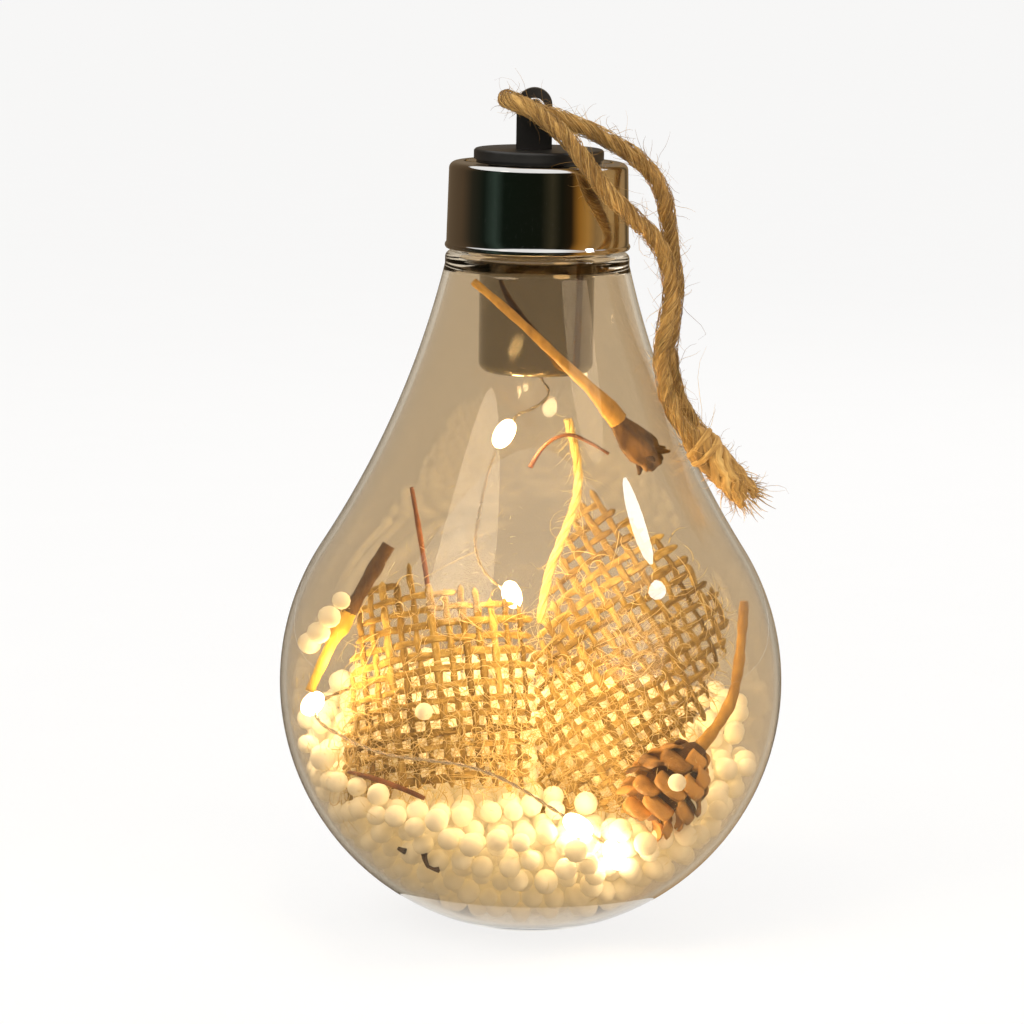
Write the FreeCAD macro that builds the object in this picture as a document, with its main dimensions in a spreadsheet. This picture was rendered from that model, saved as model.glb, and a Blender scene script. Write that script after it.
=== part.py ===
import FreeCAD, Part
import Sketcher
import math
import os
import re

# LED globe bulb: a clear screw-capped ornament filled with dried things, beads and a lamp string.
# Millimetres. The origin is the centre of the flat base, Z is up and -Y faces the viewer.

SIZES = {
    # clear bulb
    "ball_radius": 40.0,
    "base_radius": 8.5,
    "flare_radius": 145.0,
    "collar_height": 2.0,
    "shoulder_height": 107.8,
    "shoulder_width": 2.2,
    "shoulder_round": 1.0,
    "neck_room": 2.15,
    "neck_wall": 1.1,
    "neck_length": 11.7,
    "lip_round": 0.4,
    "glass_wall": 1.0,
    "floor_thickness": 3.0,
    # screw cap
    "cap_gap": 0.5,
    "thread_room": 0.85,
    "cap_draft": 0.3,
    "cap_wall": 1.2,
    "cap_roof": 1.6,
    "cap_edge_round": 1.1,
    "rim_bead": 0.15,
    "rim_bead_height": 0.9,
    "liner_thickness": 0.6,
    "lip_gap": 0.1,
    # battery cup
    "cup_wall": 1.0,
    "cup_floor": 1.2,
    "cup_round": 1.6,
    "flange_width": 0.85,
    "flange_thickness": 0.6,
    "board_ledge": 0.85,
    "chamber_height": 6.1,
    "lead_hole_radius": 0.9,
    "fit_gap": 0.05,
    # cells and contacts
    "cell_radius": 5.8,
    "cell_height": 5.4,
    "cell_crimp": 1.1,
    "stack_gap": 0.05,
    "sleeve_gap": 0.15,
    "sleeve_wall": 2.05,
    "board_thickness": 1.0,
    "leaf_height": 4.0,
    "leaf_width": 3.0,
    "leaf_reach": 3.2,
    "brass_thickness": 0.3,
    "strip_width": 2.5,
    "resistor_radius": 0.85,
    "resistor_length": 3.4,
    "resistor_offset": 3.6,
    "contact_gap": 0.1,
    # twist lid with its hanging tab
    "lid_overhang": 0.3,
    "lid_thickness": 2.0,
    "spigot_length": 4.15,
    "lid_gap": 0.1,
    "lid_edge_round": 0.5,
    "lid_step": 0.4,
    "lug_reach": 0.45,
    "lug_height": 1.0,
    "lug_offset": 0.8,
    "lug_angle": 24.0,
    "lug_start": 78.0,
    "lid_travel": 60.0,
    "groove_gap": 0.1,
    "groove_angle_gap": 1.0,
    "tab_shift": -0.8,
    "tab_width": 5.6,
    "tab_thickness": 3.0,
    "tab_height": 9.5,
    "eye_radius": 1.7,
    "eye_drop": 3.2,
    # twine
    "twine_radius": 1.25,
    "knot_radius": 2.9,
    "knot_length": 10.0,
    # lamp string
    "wire_radius": 0.3,
    "lamp_radius": 1.55,
    "lamp_length": 5.0,
    # fillings
    "fill_gap": 0.3,
    "bead_radius": 1.75,
    "standing_bead_step": 7.9,
    "burlap_thickness": 0.7,
    "ridge_height": 0.1,
    "ridge_width": 1.2,
    "ridge_length": 2.3,
    "weave_pitch": 3.1,
    "weave_gap": 1.35,
    "cone_radius": 5.8,
    "cone_length": 15.0,
    "scale_rows": 6,
    "scales_in_row": 8,
    "scale_thickness": 0.7,
    "scale_lift": 1.0,
    "cone_stalk_radius": 0.8,
    "stalk_radius": 0.7,
    "seed_head_radius": 3.1,
    "twig_radius": 1.1,
    "twig_joint_radius": 1.3,
    "stem_radius": 0.4,
    "yarn_radius": 1.0,
}

# Places that follow from the sizes. A formula may use the places above it.
PLACES = {
    "cup_inner": "cell_radius + sleeve_gap + sleeve_wall + fit_gap",
    "cup_radius": "cup_inner + cup_wall",
    "neck_inner": "cup_radius + neck_room",
    "neck_radius": "neck_inner + neck_wall",
    "flare_top_radius": "neck_radius + shoulder_width",
    "flare_top_height": "shoulder_height - collar_height",
    "ball_height": "sqrt(ball_radius^2 - base_radius^2)",
    "rise": "flare_top_height - ball_height",
    "reach": "sqrt(flare_top_radius^2 + rise^2)",
    "span": "ball_radius + flare_radius",
    "along": "(reach^2 + span^2 - flare_radius^2) / (2 * reach)",
    "aside": "sqrt(span^2 - along^2)",
    "flare_x": "(along * flare_top_radius + aside * rise) / reach",
    "flare_z": "ball_height + (along * rise - aside * flare_top_radius) / reach",
    "join_x": "flare_x * ball_radius / span",
    "join_z": "ball_height + (flare_z - ball_height) * ball_radius / span",
    "inner_ball": "ball_radius - glass_wall",
    "inner_flare": "flare_radius + glass_wall",
    "floor_x": "sqrt(inner_ball^2 - (ball_height - floor_thickness)^2)",
    "inner_join_x": "flare_x * inner_ball / span",
    "inner_join_z": "ball_height + (flare_z - ball_height) * inner_ball / span",
    "inner_top_x": "flare_x + (flare_top_radius - flare_x) * inner_flare / flare_radius",
    "inner_top_z": "flare_z + (flare_top_height - flare_z) * inner_flare / flare_radius",
    "neck_top": "shoulder_height + neck_length",
    "cap_base": "shoulder_height + cap_gap",
    "cap_inner": "neck_radius + thread_room",
    "cap_radius": "cap_inner + cap_wall",
    "cap_under": "neck_top + lip_gap + liner_thickness",
    "cap_top": "cap_under + cap_roof",
    "cap_top_radius": "cap_radius - cap_draft",
    "flange_radius": "cup_radius + flange_width",
    "flange_base": "cap_top - flange_thickness",
    "lid_radius": "flange_radius + lid_overhang",
    "lid_base": "cap_top + lid_gap",
    "lid_top": "lid_base + lid_thickness",
    "spigot_base": "lid_base - spigot_length",
    "lid_contact_base": "spigot_base - brass_thickness",
    "cells_top": "lid_contact_base - contact_gap",
    "cells_base": "cells_top - 3 * (cell_height + stack_gap)",
    "board_top": "cells_base - leaf_height",
    "board_base": "board_top - board_thickness",
    "cup_inside": "board_base - chamber_height",
    "cup_base": "cup_inside - cup_floor",
    "ledge_radius": "cup_inner - board_ledge",
    "sleeve_inner": "cell_radius + sleeve_gap",
    "sleeve_outer": "cup_inner - fit_gap",
    "spigot_radius": "cup_inner - sleeve_gap",
    "lug_radius": "cup_inner + lug_reach",
    "lug_base": "spigot_base + lug_offset",
    "tab_top": "lid_top + tab_height",
    "tab_shoulder": "tab_top - tab_width / 2",
    "tab_left": "tab_shift - tab_width / 2",
    "tab_right": "tab_shift + tab_width / 2",
    "eye_height": "tab_top - eye_drop",
    "fill_radius": "inner_ball - fill_gap",
}

doc = FreeCAD.newDocument("GlobeBulb")


def cells(formula):
    """Put its sheet's name before each alias in a formula."""
    def full(match):
        word = match.group()
        if word in SIZES:
            return "Sizes." + word
        return "Places." + word if word in PLACES else word
    return re.sub(r"[a-z][a-z_]*", full, formula)


def fill_sheet(name, values):
    """Write a sheet with one alias to a row."""
    sheet = doc.addObject("Spreadsheet::Sheet", name)
    for row, (alias, value) in enumerate(values.items(), start=1):
        sheet.set(f"A{row}", alias)
        sheet.set(f"B{row}", value)
        sheet.setAlias(f"B{row}", alias)
    return sheet


sizes = fill_sheet("Sizes", {alias: str(value) for alias, value in SIZES.items()})
fill_sheet("Places", {alias: "=" + cells(text) for alias, text in PLACES.items()})
doc.recompute()


def number(formula):
    """The value of a formula in the sheets' aliases."""
    return float(sizes.evalExpression(cells(formula)))


def vector(x, y, z):
    return FreeCAD.Vector(x, y, z)


def bind(item, **formulas):
    """Tie properties to the sheets; two underlines in a name stand for a dot."""
    for name, formula in formulas.items():
        item.setExpression(name.replace("__", "."), cells(formula))


# Sketched outlines

def arc_between(start, end, radius, side):
    """The short arc from start to end, with its centre on the left for side 1."""
    chord = end - start
    half = chord.Length / 2
    depth = math.sqrt(max(radius * radius - half * half, 0.0))
    left = vector(-chord.y, chord.x, 0).normalize()
    centre = (start + end) / 2 + left * (depth * side)
    first, last = (start, end) if side > 0 else (end, start)
    angles = [math.atan2(point.y - centre.y, point.x - centre.x) for point in (first, last)]
    circle = Part.Circle(centre, vector(0, 0, 1), radius)
    return Part.ArcOfCircle(circle, angles[0], angles[1])


def constrain(sketch, formula, *parts):
    """Add a driving constraint whose value is a formula."""
    index = sketch.addConstraint(Sketcher.Constraint(*parts, number(formula)))
    sketch.setExpression(f"Constraints[{index}]", cells(formula))


def pin(sketch, curve, end, place):
    """Fix one end of a curve at a pair of formulas."""
    for kind, axis, formula in (("DistanceX", -2, place[0]), ("DistanceY", -1, place[1])):
        if formula == "0":
            sketch.addConstraint(Sketcher.Constraint("PointOnObject", curve, end, axis))
        else:
            constrain(sketch, formula, kind, -1, 1, curve, end)


def outline(body, name, plane, corners, arcs):
    """A closed sketch through corners; arcs gives the radius and side of the stretch after a corner."""
    sketch = body.newObject("Sketcher::SketchObject", name)
    face = [item for item in body.Origin.OriginFeatures if item.Role == plane][0]
    sketch.AttachmentSupport = [(face, "")]
    sketch.MapMode = "FlatFace"
    points = [vector(number(across), number(up), 0) for across, up in corners]
    ends = []
    for index, start in enumerate(points):
        end = points[(index + 1) % len(points)]
        if index in arcs:
            radius, side = arcs[index]
            sketch.addGeometry(arc_between(start, end, number(radius), side), False)
            ends.append((1, 2) if side > 0 else (2, 1))
        else:
            sketch.addGeometry(Part.LineSegment(start, end), False)
            ends.append((1, 2))
    for index in range(len(points)):
        follower = (index + 1) % len(points)
        meeting = (index, ends[index][1], follower, ends[follower][0])
        sketch.addConstraint(Sketcher.Constraint("Coincident", *meeting))
    for index, place in enumerate(corners):
        pin(sketch, index, ends[index][0], place)
        if index in arcs:
            constrain(sketch, arcs[index][0], "Radius", index)
    return sketch


def new_body(name):
    body = doc.addObject("PartDesign::Body", name)
    body.Label = name
    return body


def turned(name, corners, arcs=None):
    """A body turned round Z from corners given as radius and height."""
    body = new_body(name)
    sketch = outline(body, name + "_outline", "XZ_Plane", corners, arcs or {})
    turn = body.newObject("PartDesign::Revolution", name + "_turn")
    turn.Profile = sketch
    turn.ReferenceAxis = (sketch, ["V_Axis"])
    turn.Angle = 360
    return body


def padded(name, corners, thickness, arcs=None, hole=None):
    """A body as thick as given, centred on the XZ plane; hole gives a centre and a radius."""
    body = new_body(name)
    sketch = outline(body, name + "_outline", "XZ_Plane", corners, arcs or {})
    if hole:
        (across, up), radius = hole
        circle = Part.Circle(vector(number(across), number(up), 0), vector(0, 0, 1), number(radius))
        ring = sketch.addGeometry(circle, False)
        constrain(sketch, across, "DistanceX", -1, 1, ring, 3)
        constrain(sketch, up, "DistanceY", -1, 1, ring, 3)
        constrain(sketch, radius, "Radius", ring)
    pad = body.newObject("PartDesign::Pad", name + "_pad")
    pad.Profile = sketch
    pad.Midplane = True
    bind(pad, Length=thickness)
    return body


def sector(name, radius, height, base, start, angle):
    """A pie slice of a cylinder, from a start angle about Z."""
    piece = doc.addObject("Part::Cylinder", name)
    bind(piece, Radius=radius, Height=height, Angle=angle, Placement__Base__z=base)
    piece.Placement.Rotation = FreeCAD.Rotation(vector(0, 0, 1), 0)
    bind(piece, Placement__Rotation__Angle=start)
    return piece


def joined(name, pieces):
    """Fuse pieces into one."""
    fusion = doc.addObject("Part::MultiFuse", name)
    fusion.Shapes = pieces
    fusion.Label = name
    return fusion


def cut(name, base, tool):
    """Take a tool away from a base."""
    result = doc.addObject("Part::Cut", name)
    result.Base = base
    result.Tool = tool
    result.Label = name
    return result


def feature(name, shape):
    """Keep a worked-out shape as an object of the document."""
    item = doc.addObject("Part::Feature", name)
    item.Shape = shape
    item.Label = name
    item.Placement = FreeCAD.Placement()
    return item


nodes = []


def keep(item):
    """List an object as one of the sub-parts that are written."""
    nodes.append(item)
    return item


# Clear bulb: ball, flare and neck in one blown wall, with a thick floor

keep(turned("bulb_shell", [
    ("0", "0"),
    ("base_radius", "0"),
    ("join_x", "join_z"),
    ("flare_top_radius", "flare_top_height"),
    ("flare_top_radius", "shoulder_height - shoulder_round"),
    ("flare_top_radius - shoulder_round", "shoulder_height"),
    ("neck_radius", "shoulder_height"),
    ("neck_radius", "neck_top - lip_round"),
    ("neck_radius - lip_round", "neck_top"),
    ("neck_inner", "neck_top"),
    ("neck_inner", "shoulder_height - glass_wall"),
    ("inner_top_x", "inner_top_z"),
    ("inner_join_x", "inner_join_z"),
    ("floor_x", "floor_thickness"),
    ("0", "floor_thickness"),
], {
    1: ("ball_radius", 1),
    2: ("flare_radius", -1),
    4: ("shoulder_round", 1),
    7: ("lip_round", 1),
    11: ("inner_flare", 1),
    12: ("inner_ball", -1),
}))

# Screw cap, its liner and the battery cup that hangs in it

keep(turned("screw_cap", [
    ("cap_inner", "cap_base"),
    ("cap_radius + rim_bead", "cap_base"),
    ("cap_radius + rim_bead", "cap_base + rim_bead_height - rim_bead"),
    ("cap_radius", "cap_base + rim_bead_height"),
    ("cap_top_radius", "cap_top - cap_edge_round"),
    ("cap_top_radius - cap_edge_round", "cap_top"),
    ("flange_radius + fit_gap", "cap_top"),
    ("flange_radius + fit_gap", "flange_base"),
    ("cup_radius + fit_gap", "flange_base"),
    ("cup_radius + fit_gap", "cap_under"),
    ("cap_inner", "cap_under"),
], {2: ("rim_bead", 1), 4: ("cap_edge_round", 1)}))

keep(turned("cap_liner", [
    ("neck_inner", "neck_top + lip_gap"),
    ("cap_inner - fit_gap", "neck_top + lip_gap"),
    ("cap_inner - fit_gap", "cap_under"),
    ("neck_inner", "cap_under"),
]))

cup_blank = turned("cup_blank", [
    ("lead_hole_radius", "cup_base"),
    ("cup_radius - cup_round", "cup_base"),
    ("cup_radius", "cup_base + cup_round"),
    ("cup_radius", "flange_base"),
    ("flange_radius", "flange_base"),
    ("flange_radius", "cap_top"),
    ("cup_inner", "cap_top"),
    ("cup_inner", "board_base"),
    ("ledge_radius", "board_base"),
    ("ledge_radius", "cup_inside"),
    ("lead_hole_radius", "cup_inside"),
], {1: ("cup_round", 1)})

# Bayonet: two lugs on the lid drop into slots in the cup and turn along grooves
slots = []
for side, turn in (("front", "0"), ("back", "180")):
    start = f"lug_start - lid_travel - groove_angle_gap + {turn}"
    floor = "lug_base - groove_gap"
    slots.append(sector(
        f"groove_{side}", "lug_radius + groove_gap", "lug_height + 2 * groove_gap", floor,
        start, "lid_travel + lug_angle + 2 * groove_angle_gap"))
    slots.append(sector(
        f"slot_{side}", "lug_radius + groove_gap", "cap_top - lug_base + 2 * groove_gap", floor,
        start, "lug_angle + 2 * groove_angle_gap"))
keep(cut("battery_cup", cup_blank, joined("bayonet", slots)))

# Circuit board, contacts and cells in the cup

keep(turned("circuit_board", [
    ("lead_hole_radius", "board_base"),
    ("cup_inner - fit_gap", "board_base"),
    ("cup_inner - fit_gap", "board_top"),
    ("lead_hole_radius", "board_top"),
]))

resistor = keep(doc.addObject("Part::Cylinder", "resistor"))
resistor.Label = "resistor"
resistor.Placement.Rotation = FreeCAD.Rotation(vector(0, 1, 0), 90)
bind(resistor, Radius="resistor_radius", Height="resistor_length",
     Placement__Base__x="0 - resistor_length / 2", Placement__Base__y="resistor_offset",
     Placement__Base__z="board_base - resistor_radius - fit_gap")

keep(padded("cell_contact", [
    ("0 - leaf_reach", "board_top"),
    ("leaf_reach", "board_top"),
    ("leaf_reach", "board_top + brass_thickness"),
    ("0 - leaf_reach / 2", "board_top + brass_thickness"),
    ("leaf_reach / 2", "cells_base - brass_thickness - stack_gap"),
    ("leaf_reach", "cells_base - brass_thickness - stack_gap"),
    ("leaf_reach", "cells_base - stack_gap"),
    ("leaf_reach / 2 - brass_thickness", "cells_base - stack_gap"),
    ("0 - leaf_reach / 2 - 2 * brass_thickness", "board_top + brass_thickness"),
    ("0 - leaf_reach", "board_top + brass_thickness"),
], "leaf_width"))

sleeve_blank = turned("sleeve_blank", [
    ("sleeve_inner", "board_top"),
    ("sleeve_outer", "board_top"),
    ("sleeve_outer", "cells_top"),
    ("sleeve_inner", "cells_top"),
])
strip_slot = doc.addObject("Part::Box", "strip_slot")
bind(strip_slot, Length="cup_inner", Width="strip_width + 2 * fit_gap", Height="cells_top",
     Placement__Base__x="sleeve_outer - brass_thickness - 3 * fit_gap - strip_width^2 / 8 / sleeve_outer",
     Placement__Base__y="0 - strip_width / 2 - fit_gap")
keep(cut("cell_sleeve", sleeve_blank, strip_slot))

strip = keep(doc.addObject("Part::Box", "contact_strip"))
strip.Label = "contact_strip"
bind(strip, Length="brass_thickness", Width="strip_width", Height="cells_top - board_top",
     Placement__Base__x="sleeve_outer - brass_thickness - 2 * fit_gap - strip_width^2 / 8 / sleeve_outer",
     Placement__Base__y="0 - strip_width / 2", Placement__Base__z="board_top")

for index in range(3):
    base = f"cells_base + {index} * (cell_height + stack_gap)"
    keep(turned(f"button_cell_{index + 1}", [
        ("0", base),
        ("cell_radius - cell_crimp", base),
        ("cell_radius - cell_crimp", f"{base} + cell_crimp / 2"),
        ("cell_radius - cell_crimp / 4", f"{base} + cell_crimp / 2"),
        ("cell_radius", f"{base} + cell_crimp"),
        ("cell_radius", f"{base} + cell_height"),
        ("0", f"{base} + cell_height"),
    ]))

# Twist lid: disc, spigot, lugs and the tab with its eye

lid_disc = turned("lid_disc", [
    ("0", "spigot_base"),
    ("spigot_radius", "spigot_base"),
    ("spigot_radius", "lid_base"),
    ("lid_radius - lid_step", "lid_base"),
    ("lid_radius - lid_step", "lid_base + lid_step"),
    ("lid_radius", "lid_base + lid_step"),
    ("lid_radius", "lid_top - lid_edge_round"),
    ("lid_radius - lid_edge_round", "lid_top"),
    ("0", "lid_top"),
], {6: ("lid_edge_round", 1)})
lid_tab = padded("lid_tab", [
    ("tab_left", "lid_top - lid_edge_round"),
    ("tab_right", "lid_top - lid_edge_round"),
    ("tab_right", "tab_shoulder"),
    ("tab_shift", "tab_top"),
    ("tab_left", "tab_shoulder"),
], "tab_thickness", {2: ("tab_width / 2", 1), 3: ("tab_width / 2", 1)},
    (("tab_shift", "eye_height"), "eye_radius"))
lugs = [sector(f"lug_{side}", "lug_radius", "lug_height", "lug_base", f"lug_start + {turn}", "lug_angle")
        for side, turn in (("front", "0"), ("back", "180"))]
keep(joined("hook_lid", [lid_disc, lid_tab] + lugs))

lid_contact = keep(doc.addObject("Part::Cylinder", "lid_contact"))
lid_contact.Label = "lid_contact"
bind(lid_contact, Radius="cell_radius - cell_crimp", Height="brass_thickness",
     Placement__Base__z="lid_contact_base")

doc.recompute()

# Round-section runs: twine, wire and stems

RUN_SHARE = 0.45


def rounded_path(points):
    """Straight runs joined by tangent arcs, each as large as its two runs allow."""
    edges = []
    radii = []
    start = points[0]
    for before, corner, after in zip(points, points[1:], points[2:]):
        back = before - corner
        onward = after - corner
        setback = RUN_SHARE * min(back.Length, onward.Length)
        back.normalize()
        onward.normalize()
        turn = math.pi - back.getAngle(onward)
        radius = setback / math.tan(turn / 2)
        radii.append(round(radius, 1))
        first = corner + back * setback
        last = corner + onward * setback
        middle_way = (back + onward).normalize()
        centre = corner + middle_way * (radius / math.cos(turn / 2))
        edges.append(Part.LineSegment(start, first).toShape())
        edges.append(Part.Arc(first, centre - middle_way * radius, last).toShape())
        start = last
    edges.append(Part.LineSegment(start, points[-1]).toShape())
    return Part.Wire(edges), radii


def tube(name, points, radius):
    """A round tube along a route; prints its length, its bends and how its volume compares."""
    path, radii = rounded_path(points)
    ring = Part.Wire(Part.makeCircle(radius, points[0], points[1] - points[0]))
    shape = path.makePipeShell([ring], True, False)
    share = shape.Volume / (math.pi * radius * radius * path.Length)
    print(f"{name}: length {path.Length:.1f}, bends {radii}, volume share {share:.4f}")
    return keep(feature(name, shape))


def tapered(points, radii):
    """A stem through points, with a radius at each."""
    rings = []
    for index, (point, radius) in enumerate(zip(points, radii)):
        before = points[max(index - 1, 0)]
        after = points[min(index + 1, len(points) - 1)]
        rings.append(Part.Wire(Part.makeCircle(radius, point, after - before)))
    return Part.makeLoft(rings, True, True)


# Hanging twine: both legs start in the eye and end in the knot

eye = vector(number("tab_shift"), 0, number("eye_height"))
twine = number("twine_radius")
FRONT_LEG = [(-0.8, 4.0, 130.2), (-5.0, 4.8, 131.2), (-6.8, 0.2, 131.9), (-5.0, -4.6, 131.6),
             (-0.7, -7.0, 130.2), (4.1, -10.0, 126.6), (7.2, -13.2, 122.9), (10.3, -13.6, 118.3),
             (14.7, -10.8, 114.3), (18.2, -7.4, 110.8), (20.4, -6.4, 106.8), (21.2, -6.6, 101.9),
             (20.0, -7.2, 97.2), (19.5, -8.0, 91.9), (20.6, -8.9, 85.7), (23.3, -9.8, 81.3),
             (26.6, -9.9, 77.0)]
BACK_LEG = [(-0.8, -3.3, 130.2), (2.8, -5.8, 129.1), (9.4, -5.0, 126.6), (16.4, -3.6, 122.4),
            (19.5, -3.2, 117.9), (20.4, -2.8, 112.8), (20.9, -3.2, 107.8), (21.9, -3.4, 102.8),
            (21.2, -4.0, 97.4), (20.8, -4.8, 91.5), (22.1, -5.4, 85.6), (25.0, -6.2, 81.2),
            (28.2, -7.2, 77.4)]
tube("twine_front_leg", [eye] + [vector(*place) for place in FRONT_LEG], twine)
tube("twine_back_leg", [eye] + [vector(*place) for place in BACK_LEG], twine)

KNOT_START = (27.1, -8.8, 77.3)
KNOT_WAY = (0.66, 0.1, -0.745)
knot = turned("twine_knot", [
    ("0", "0"),
    ("knot_radius * 0.8", "0"),
    ("knot_radius", "knot_length * 0.3"),
    ("knot_radius * 0.9", "knot_length * 0.65"),
    ("knot_radius * 0.35", "knot_length"),
    ("0", "knot_length"),
], {1: ("knot_length * 0.4", 1), 2: ("knot_length", 1)})
knot.Placement = FreeCAD.Placement(
    vector(*KNOT_START), FreeCAD.Rotation(vector(0, 0, 1), vector(*KNOT_WAY)))
keep(knot)

# The fillings are drawn for these three measures of the bulb and follow it when it changes

DRAWN_FILL = 38.7
DRAWN_BALL_HEIGHT = 39.1
DRAWN_JOIN = 60.7
DRAWN_SHOULDER = 107.8
DRAWN_NECK = 12.3
ball_centre = vector(0, 0, number("ball_height"))
fill_radius = number("fill_radius")
spread = fill_radius / DRAWN_FILL


def laid(x, y, z):
    """A place among the fillings: it keeps its share of the ball, or of the flare above it."""
    join = ball_centre.z + (DRAWN_JOIN - DRAWN_BALL_HEIGHT) * spread
    if z <= DRAWN_JOIN:
        return vector(x * spread, y * spread, ball_centre.z + (z - DRAWN_BALL_HEIGHT) * spread)
    share = (z - DRAWN_JOIN) / (DRAWN_SHOULDER - DRAWN_JOIN)
    wide = spread + (number("neck_radius") / DRAWN_NECK - spread) * share
    return vector(x * wide, y * wide, join + (number("shoulder_height") - join) * share)


# Lamp string: a lead out of the cup, then the string among the fillings

wire = number("wire_radius")
cup_base = number("cup_base")
lead_top = vector(0, 0, number("board_base - fill_gap"))
lead_exit = vector(0, 0, cup_base - wire)
LEAD = [(2.8, -0.8, 3.4), (0.0, -1.4, 5.8), (-2.6, -1.25, 6.7)]
tube("led_lead", [lead_top, lead_exit] + [vector(x, y, cup_base - drop) for x, y, drop in LEAD], wire)

STRING = [(-2.75, -1.25, 81.9), (-4.8, -1.0, 78.8), (-6.3, -1.0, 75.6), (-7.6, -1.6, 71.4),
          (-8.6, -2.0, 65.8), (-9.4, -1.6, 60.6), (-7.6, 0.8, 55.6), (-3.2, 3.6, 52.2),
          (-4.6, 6.0, 47.2), (-11.6, 3.2, 43.8), (-19.6, -0.6, 41.0), (-27.6, -4.4, 38.6),
          (-34.2, -8.0, 36.4), (-33.0, -13.0, 34.4), (-28.2, -16.6, 32.6), (-22.6, -20.6, 31.2),
          (-15.6, -23.2, 31.0), (-9.4, -24.4, 30.6), (-3.4, -25.4, 28.6), (2.0, -26.0, 25.4),
          (7.6, -26.4, 21.9), (10.8, -26.6, 20.0), (13.2, -26.0, 17.4), (13.6, -25.4, 15.4)]
LAMP_POINTS = (1, 7, 12, 20, 22)
string_points = [laid(*place) for place in STRING]
tube("led_string", string_points, wire)

for index, point in enumerate(LAMP_POINTS, start=1):
    lamp = turned(f"led_lamp_{index}", [
        ("0", "0 - lamp_length / 2"),
        ("wire_radius * 2", "0 - lamp_length / 2"),
        ("lamp_radius", "0 - lamp_length / 8"),
        ("lamp_radius", "lamp_length / 8"),
        ("wire_radius * 2", "lamp_length / 2"),
        ("0", "lamp_length / 2"),
    ], {1: ("lamp_length / 2", 1), 3: ("lamp_length / 2", 1)})
    way = string_points[point + 1] - string_points[point - 1]
    lamp.Placement = FreeCAD.Placement(string_points[point], FreeCAD.Rotation(vector(0, 0, 1), way))
    keep(lamp)

# Loose beads: a stack against the wall, one on the cloth and one on the cone

BEADS = [(-29.2, -17.0, 54.5, 0.8), (-31.1, -15.2, 51.6, 1.0), (-32.8, -13.6, 48.8, 1.0),
         (-34.4, -10.9, 46.6, 1.0), (-16.4, -18.4, 37.6, 0.8), (22.5, -27.6, 29.2, 0.8)]
beads = [Part.makeSphere(number("bead_radius") * share, laid(x, y, z)) for x, y, z, share in BEADS]
keep(feature("loose_beads", Part.makeCompound(beads)))

# Burlap: bent walls with the ridges and gaps of a plain weave


def bent_wall(bend, edge, thick):
    """A wall that follows an upright cylinder behind it, inside an edge of (along, up) corners."""
    tall = 4 * fill_radius
    outer = Part.makeCylinder(bend + thick / 2, tall, vector(0, bend, -tall / 2))
    inner = Part.makeCylinder(bend - thick / 2, tall, vector(0, bend, -tall / 2))
    flat = [vector(bend * math.sin(along / bend), 0, up) for along, up in edge]
    shadow = Part.Face(Part.makePolygon(flat + flat[:1])).extrude(vector(0, bend, 0))
    shadow.translate(vector(0, -thick, 0))
    return outer.cut(inner).common(shadow)


def inside(point, edge, margin):
    """Whether a point lies within a convex edge, anticlockwise, by at least a margin."""
    for (x0, y0), (x1, y1) in zip(edge, edge[1:] + edge[:1]):
        length = math.hypot(x1 - x0, y1 - y0)
        if ((x1 - x0) * (point[1] - y0) - (y1 - y0) * (point[0] - x0)) / length < margin:
            return False
    return True


def on_weave(block, bend, weave_turn, along, up):
    """Set a block, centred on the wall's middle line, at a place on the turned and bent cloth."""
    block.rotate(vector(0, 0, 0), vector(0, 1, 0), -weave_turn)
    block.translate(vector(0, 0, up))
    block.rotate(vector(0, bend, 0), vector(0, 0, 1), math.degrees(along / bend))
    return block


def centred_block(wide, deep, tall):
    return Part.makeBox(wide, deep, tall, vector(-wide / 2, -deep / 2, -tall / 2))


def burlap(name, bend, edge, weave_turn, place):
    """A bent wall with a gap in each mesh and a ridge where one thread passes over another."""
    thick = number("burlap_thickness")
    pitch = number("weave_pitch")
    gap = number("weave_gap")
    ridge_long = number("ridge_length")
    ridge_wide = number("ridge_width")
    slant = math.radians(weave_turn)
    reach = int(max(abs(value) for corner in edge for value in corner) / pitch) + 2
    holes = []
    ridges = []
    for row in range(-reach, reach + 1):
        for column in range(-reach, reach + 1):
            for step, pieces in ((0.0, holes), (0.5, ridges)):
                over = (column + step) * pitch
                rise = (row + step) * pitch
                along = over * math.cos(slant) - rise * math.sin(slant)
                up = over * math.sin(slant) + rise * math.cos(slant)
                if not inside((along, up), edge, 0.6 * pitch):
                    continue
                if pieces is holes:
                    block = centred_block(gap, 4 * thick, gap)
                elif (row + column) % 2:
                    block = centred_block(ridge_long, thick, ridge_wide)
                else:
                    block = centred_block(ridge_wide, thick, ridge_long)
                pieces.append(on_weave(block, bend, weave_turn, along, up))
    print(f"{name}: {len(holes)} gaps, {len(ridges)} ridges")
    wall = bent_wall(bend, edge, thick - 2 * number("ridge_height"))
    woven = wall.cut(Part.makeCompound(holes)).multiFuse(ridges)
    sheet = feature(name, woven.Solids[0])
    sheet.Placement = place
    return keep(sheet)


def stretched(edge):
    """An edge that follows the ball's size."""
    return [(along * spread, up * spread) for along, up in edge]


left_bend = 20.0 * spread
left_edge = stretched([(-16.5, -16.5), (15.5, -15.0), (15.5, 13.0), (2.0, 15.0), (-14.0, 17.0)])
left_place = FreeCAD.Placement(laid(-14.2, -14.5, 41.0), FreeCAD.Rotation(vector(1, 0, 0), -24.0))
burlap("burlap_left", left_bend, left_edge, 8.0, left_place)

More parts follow.
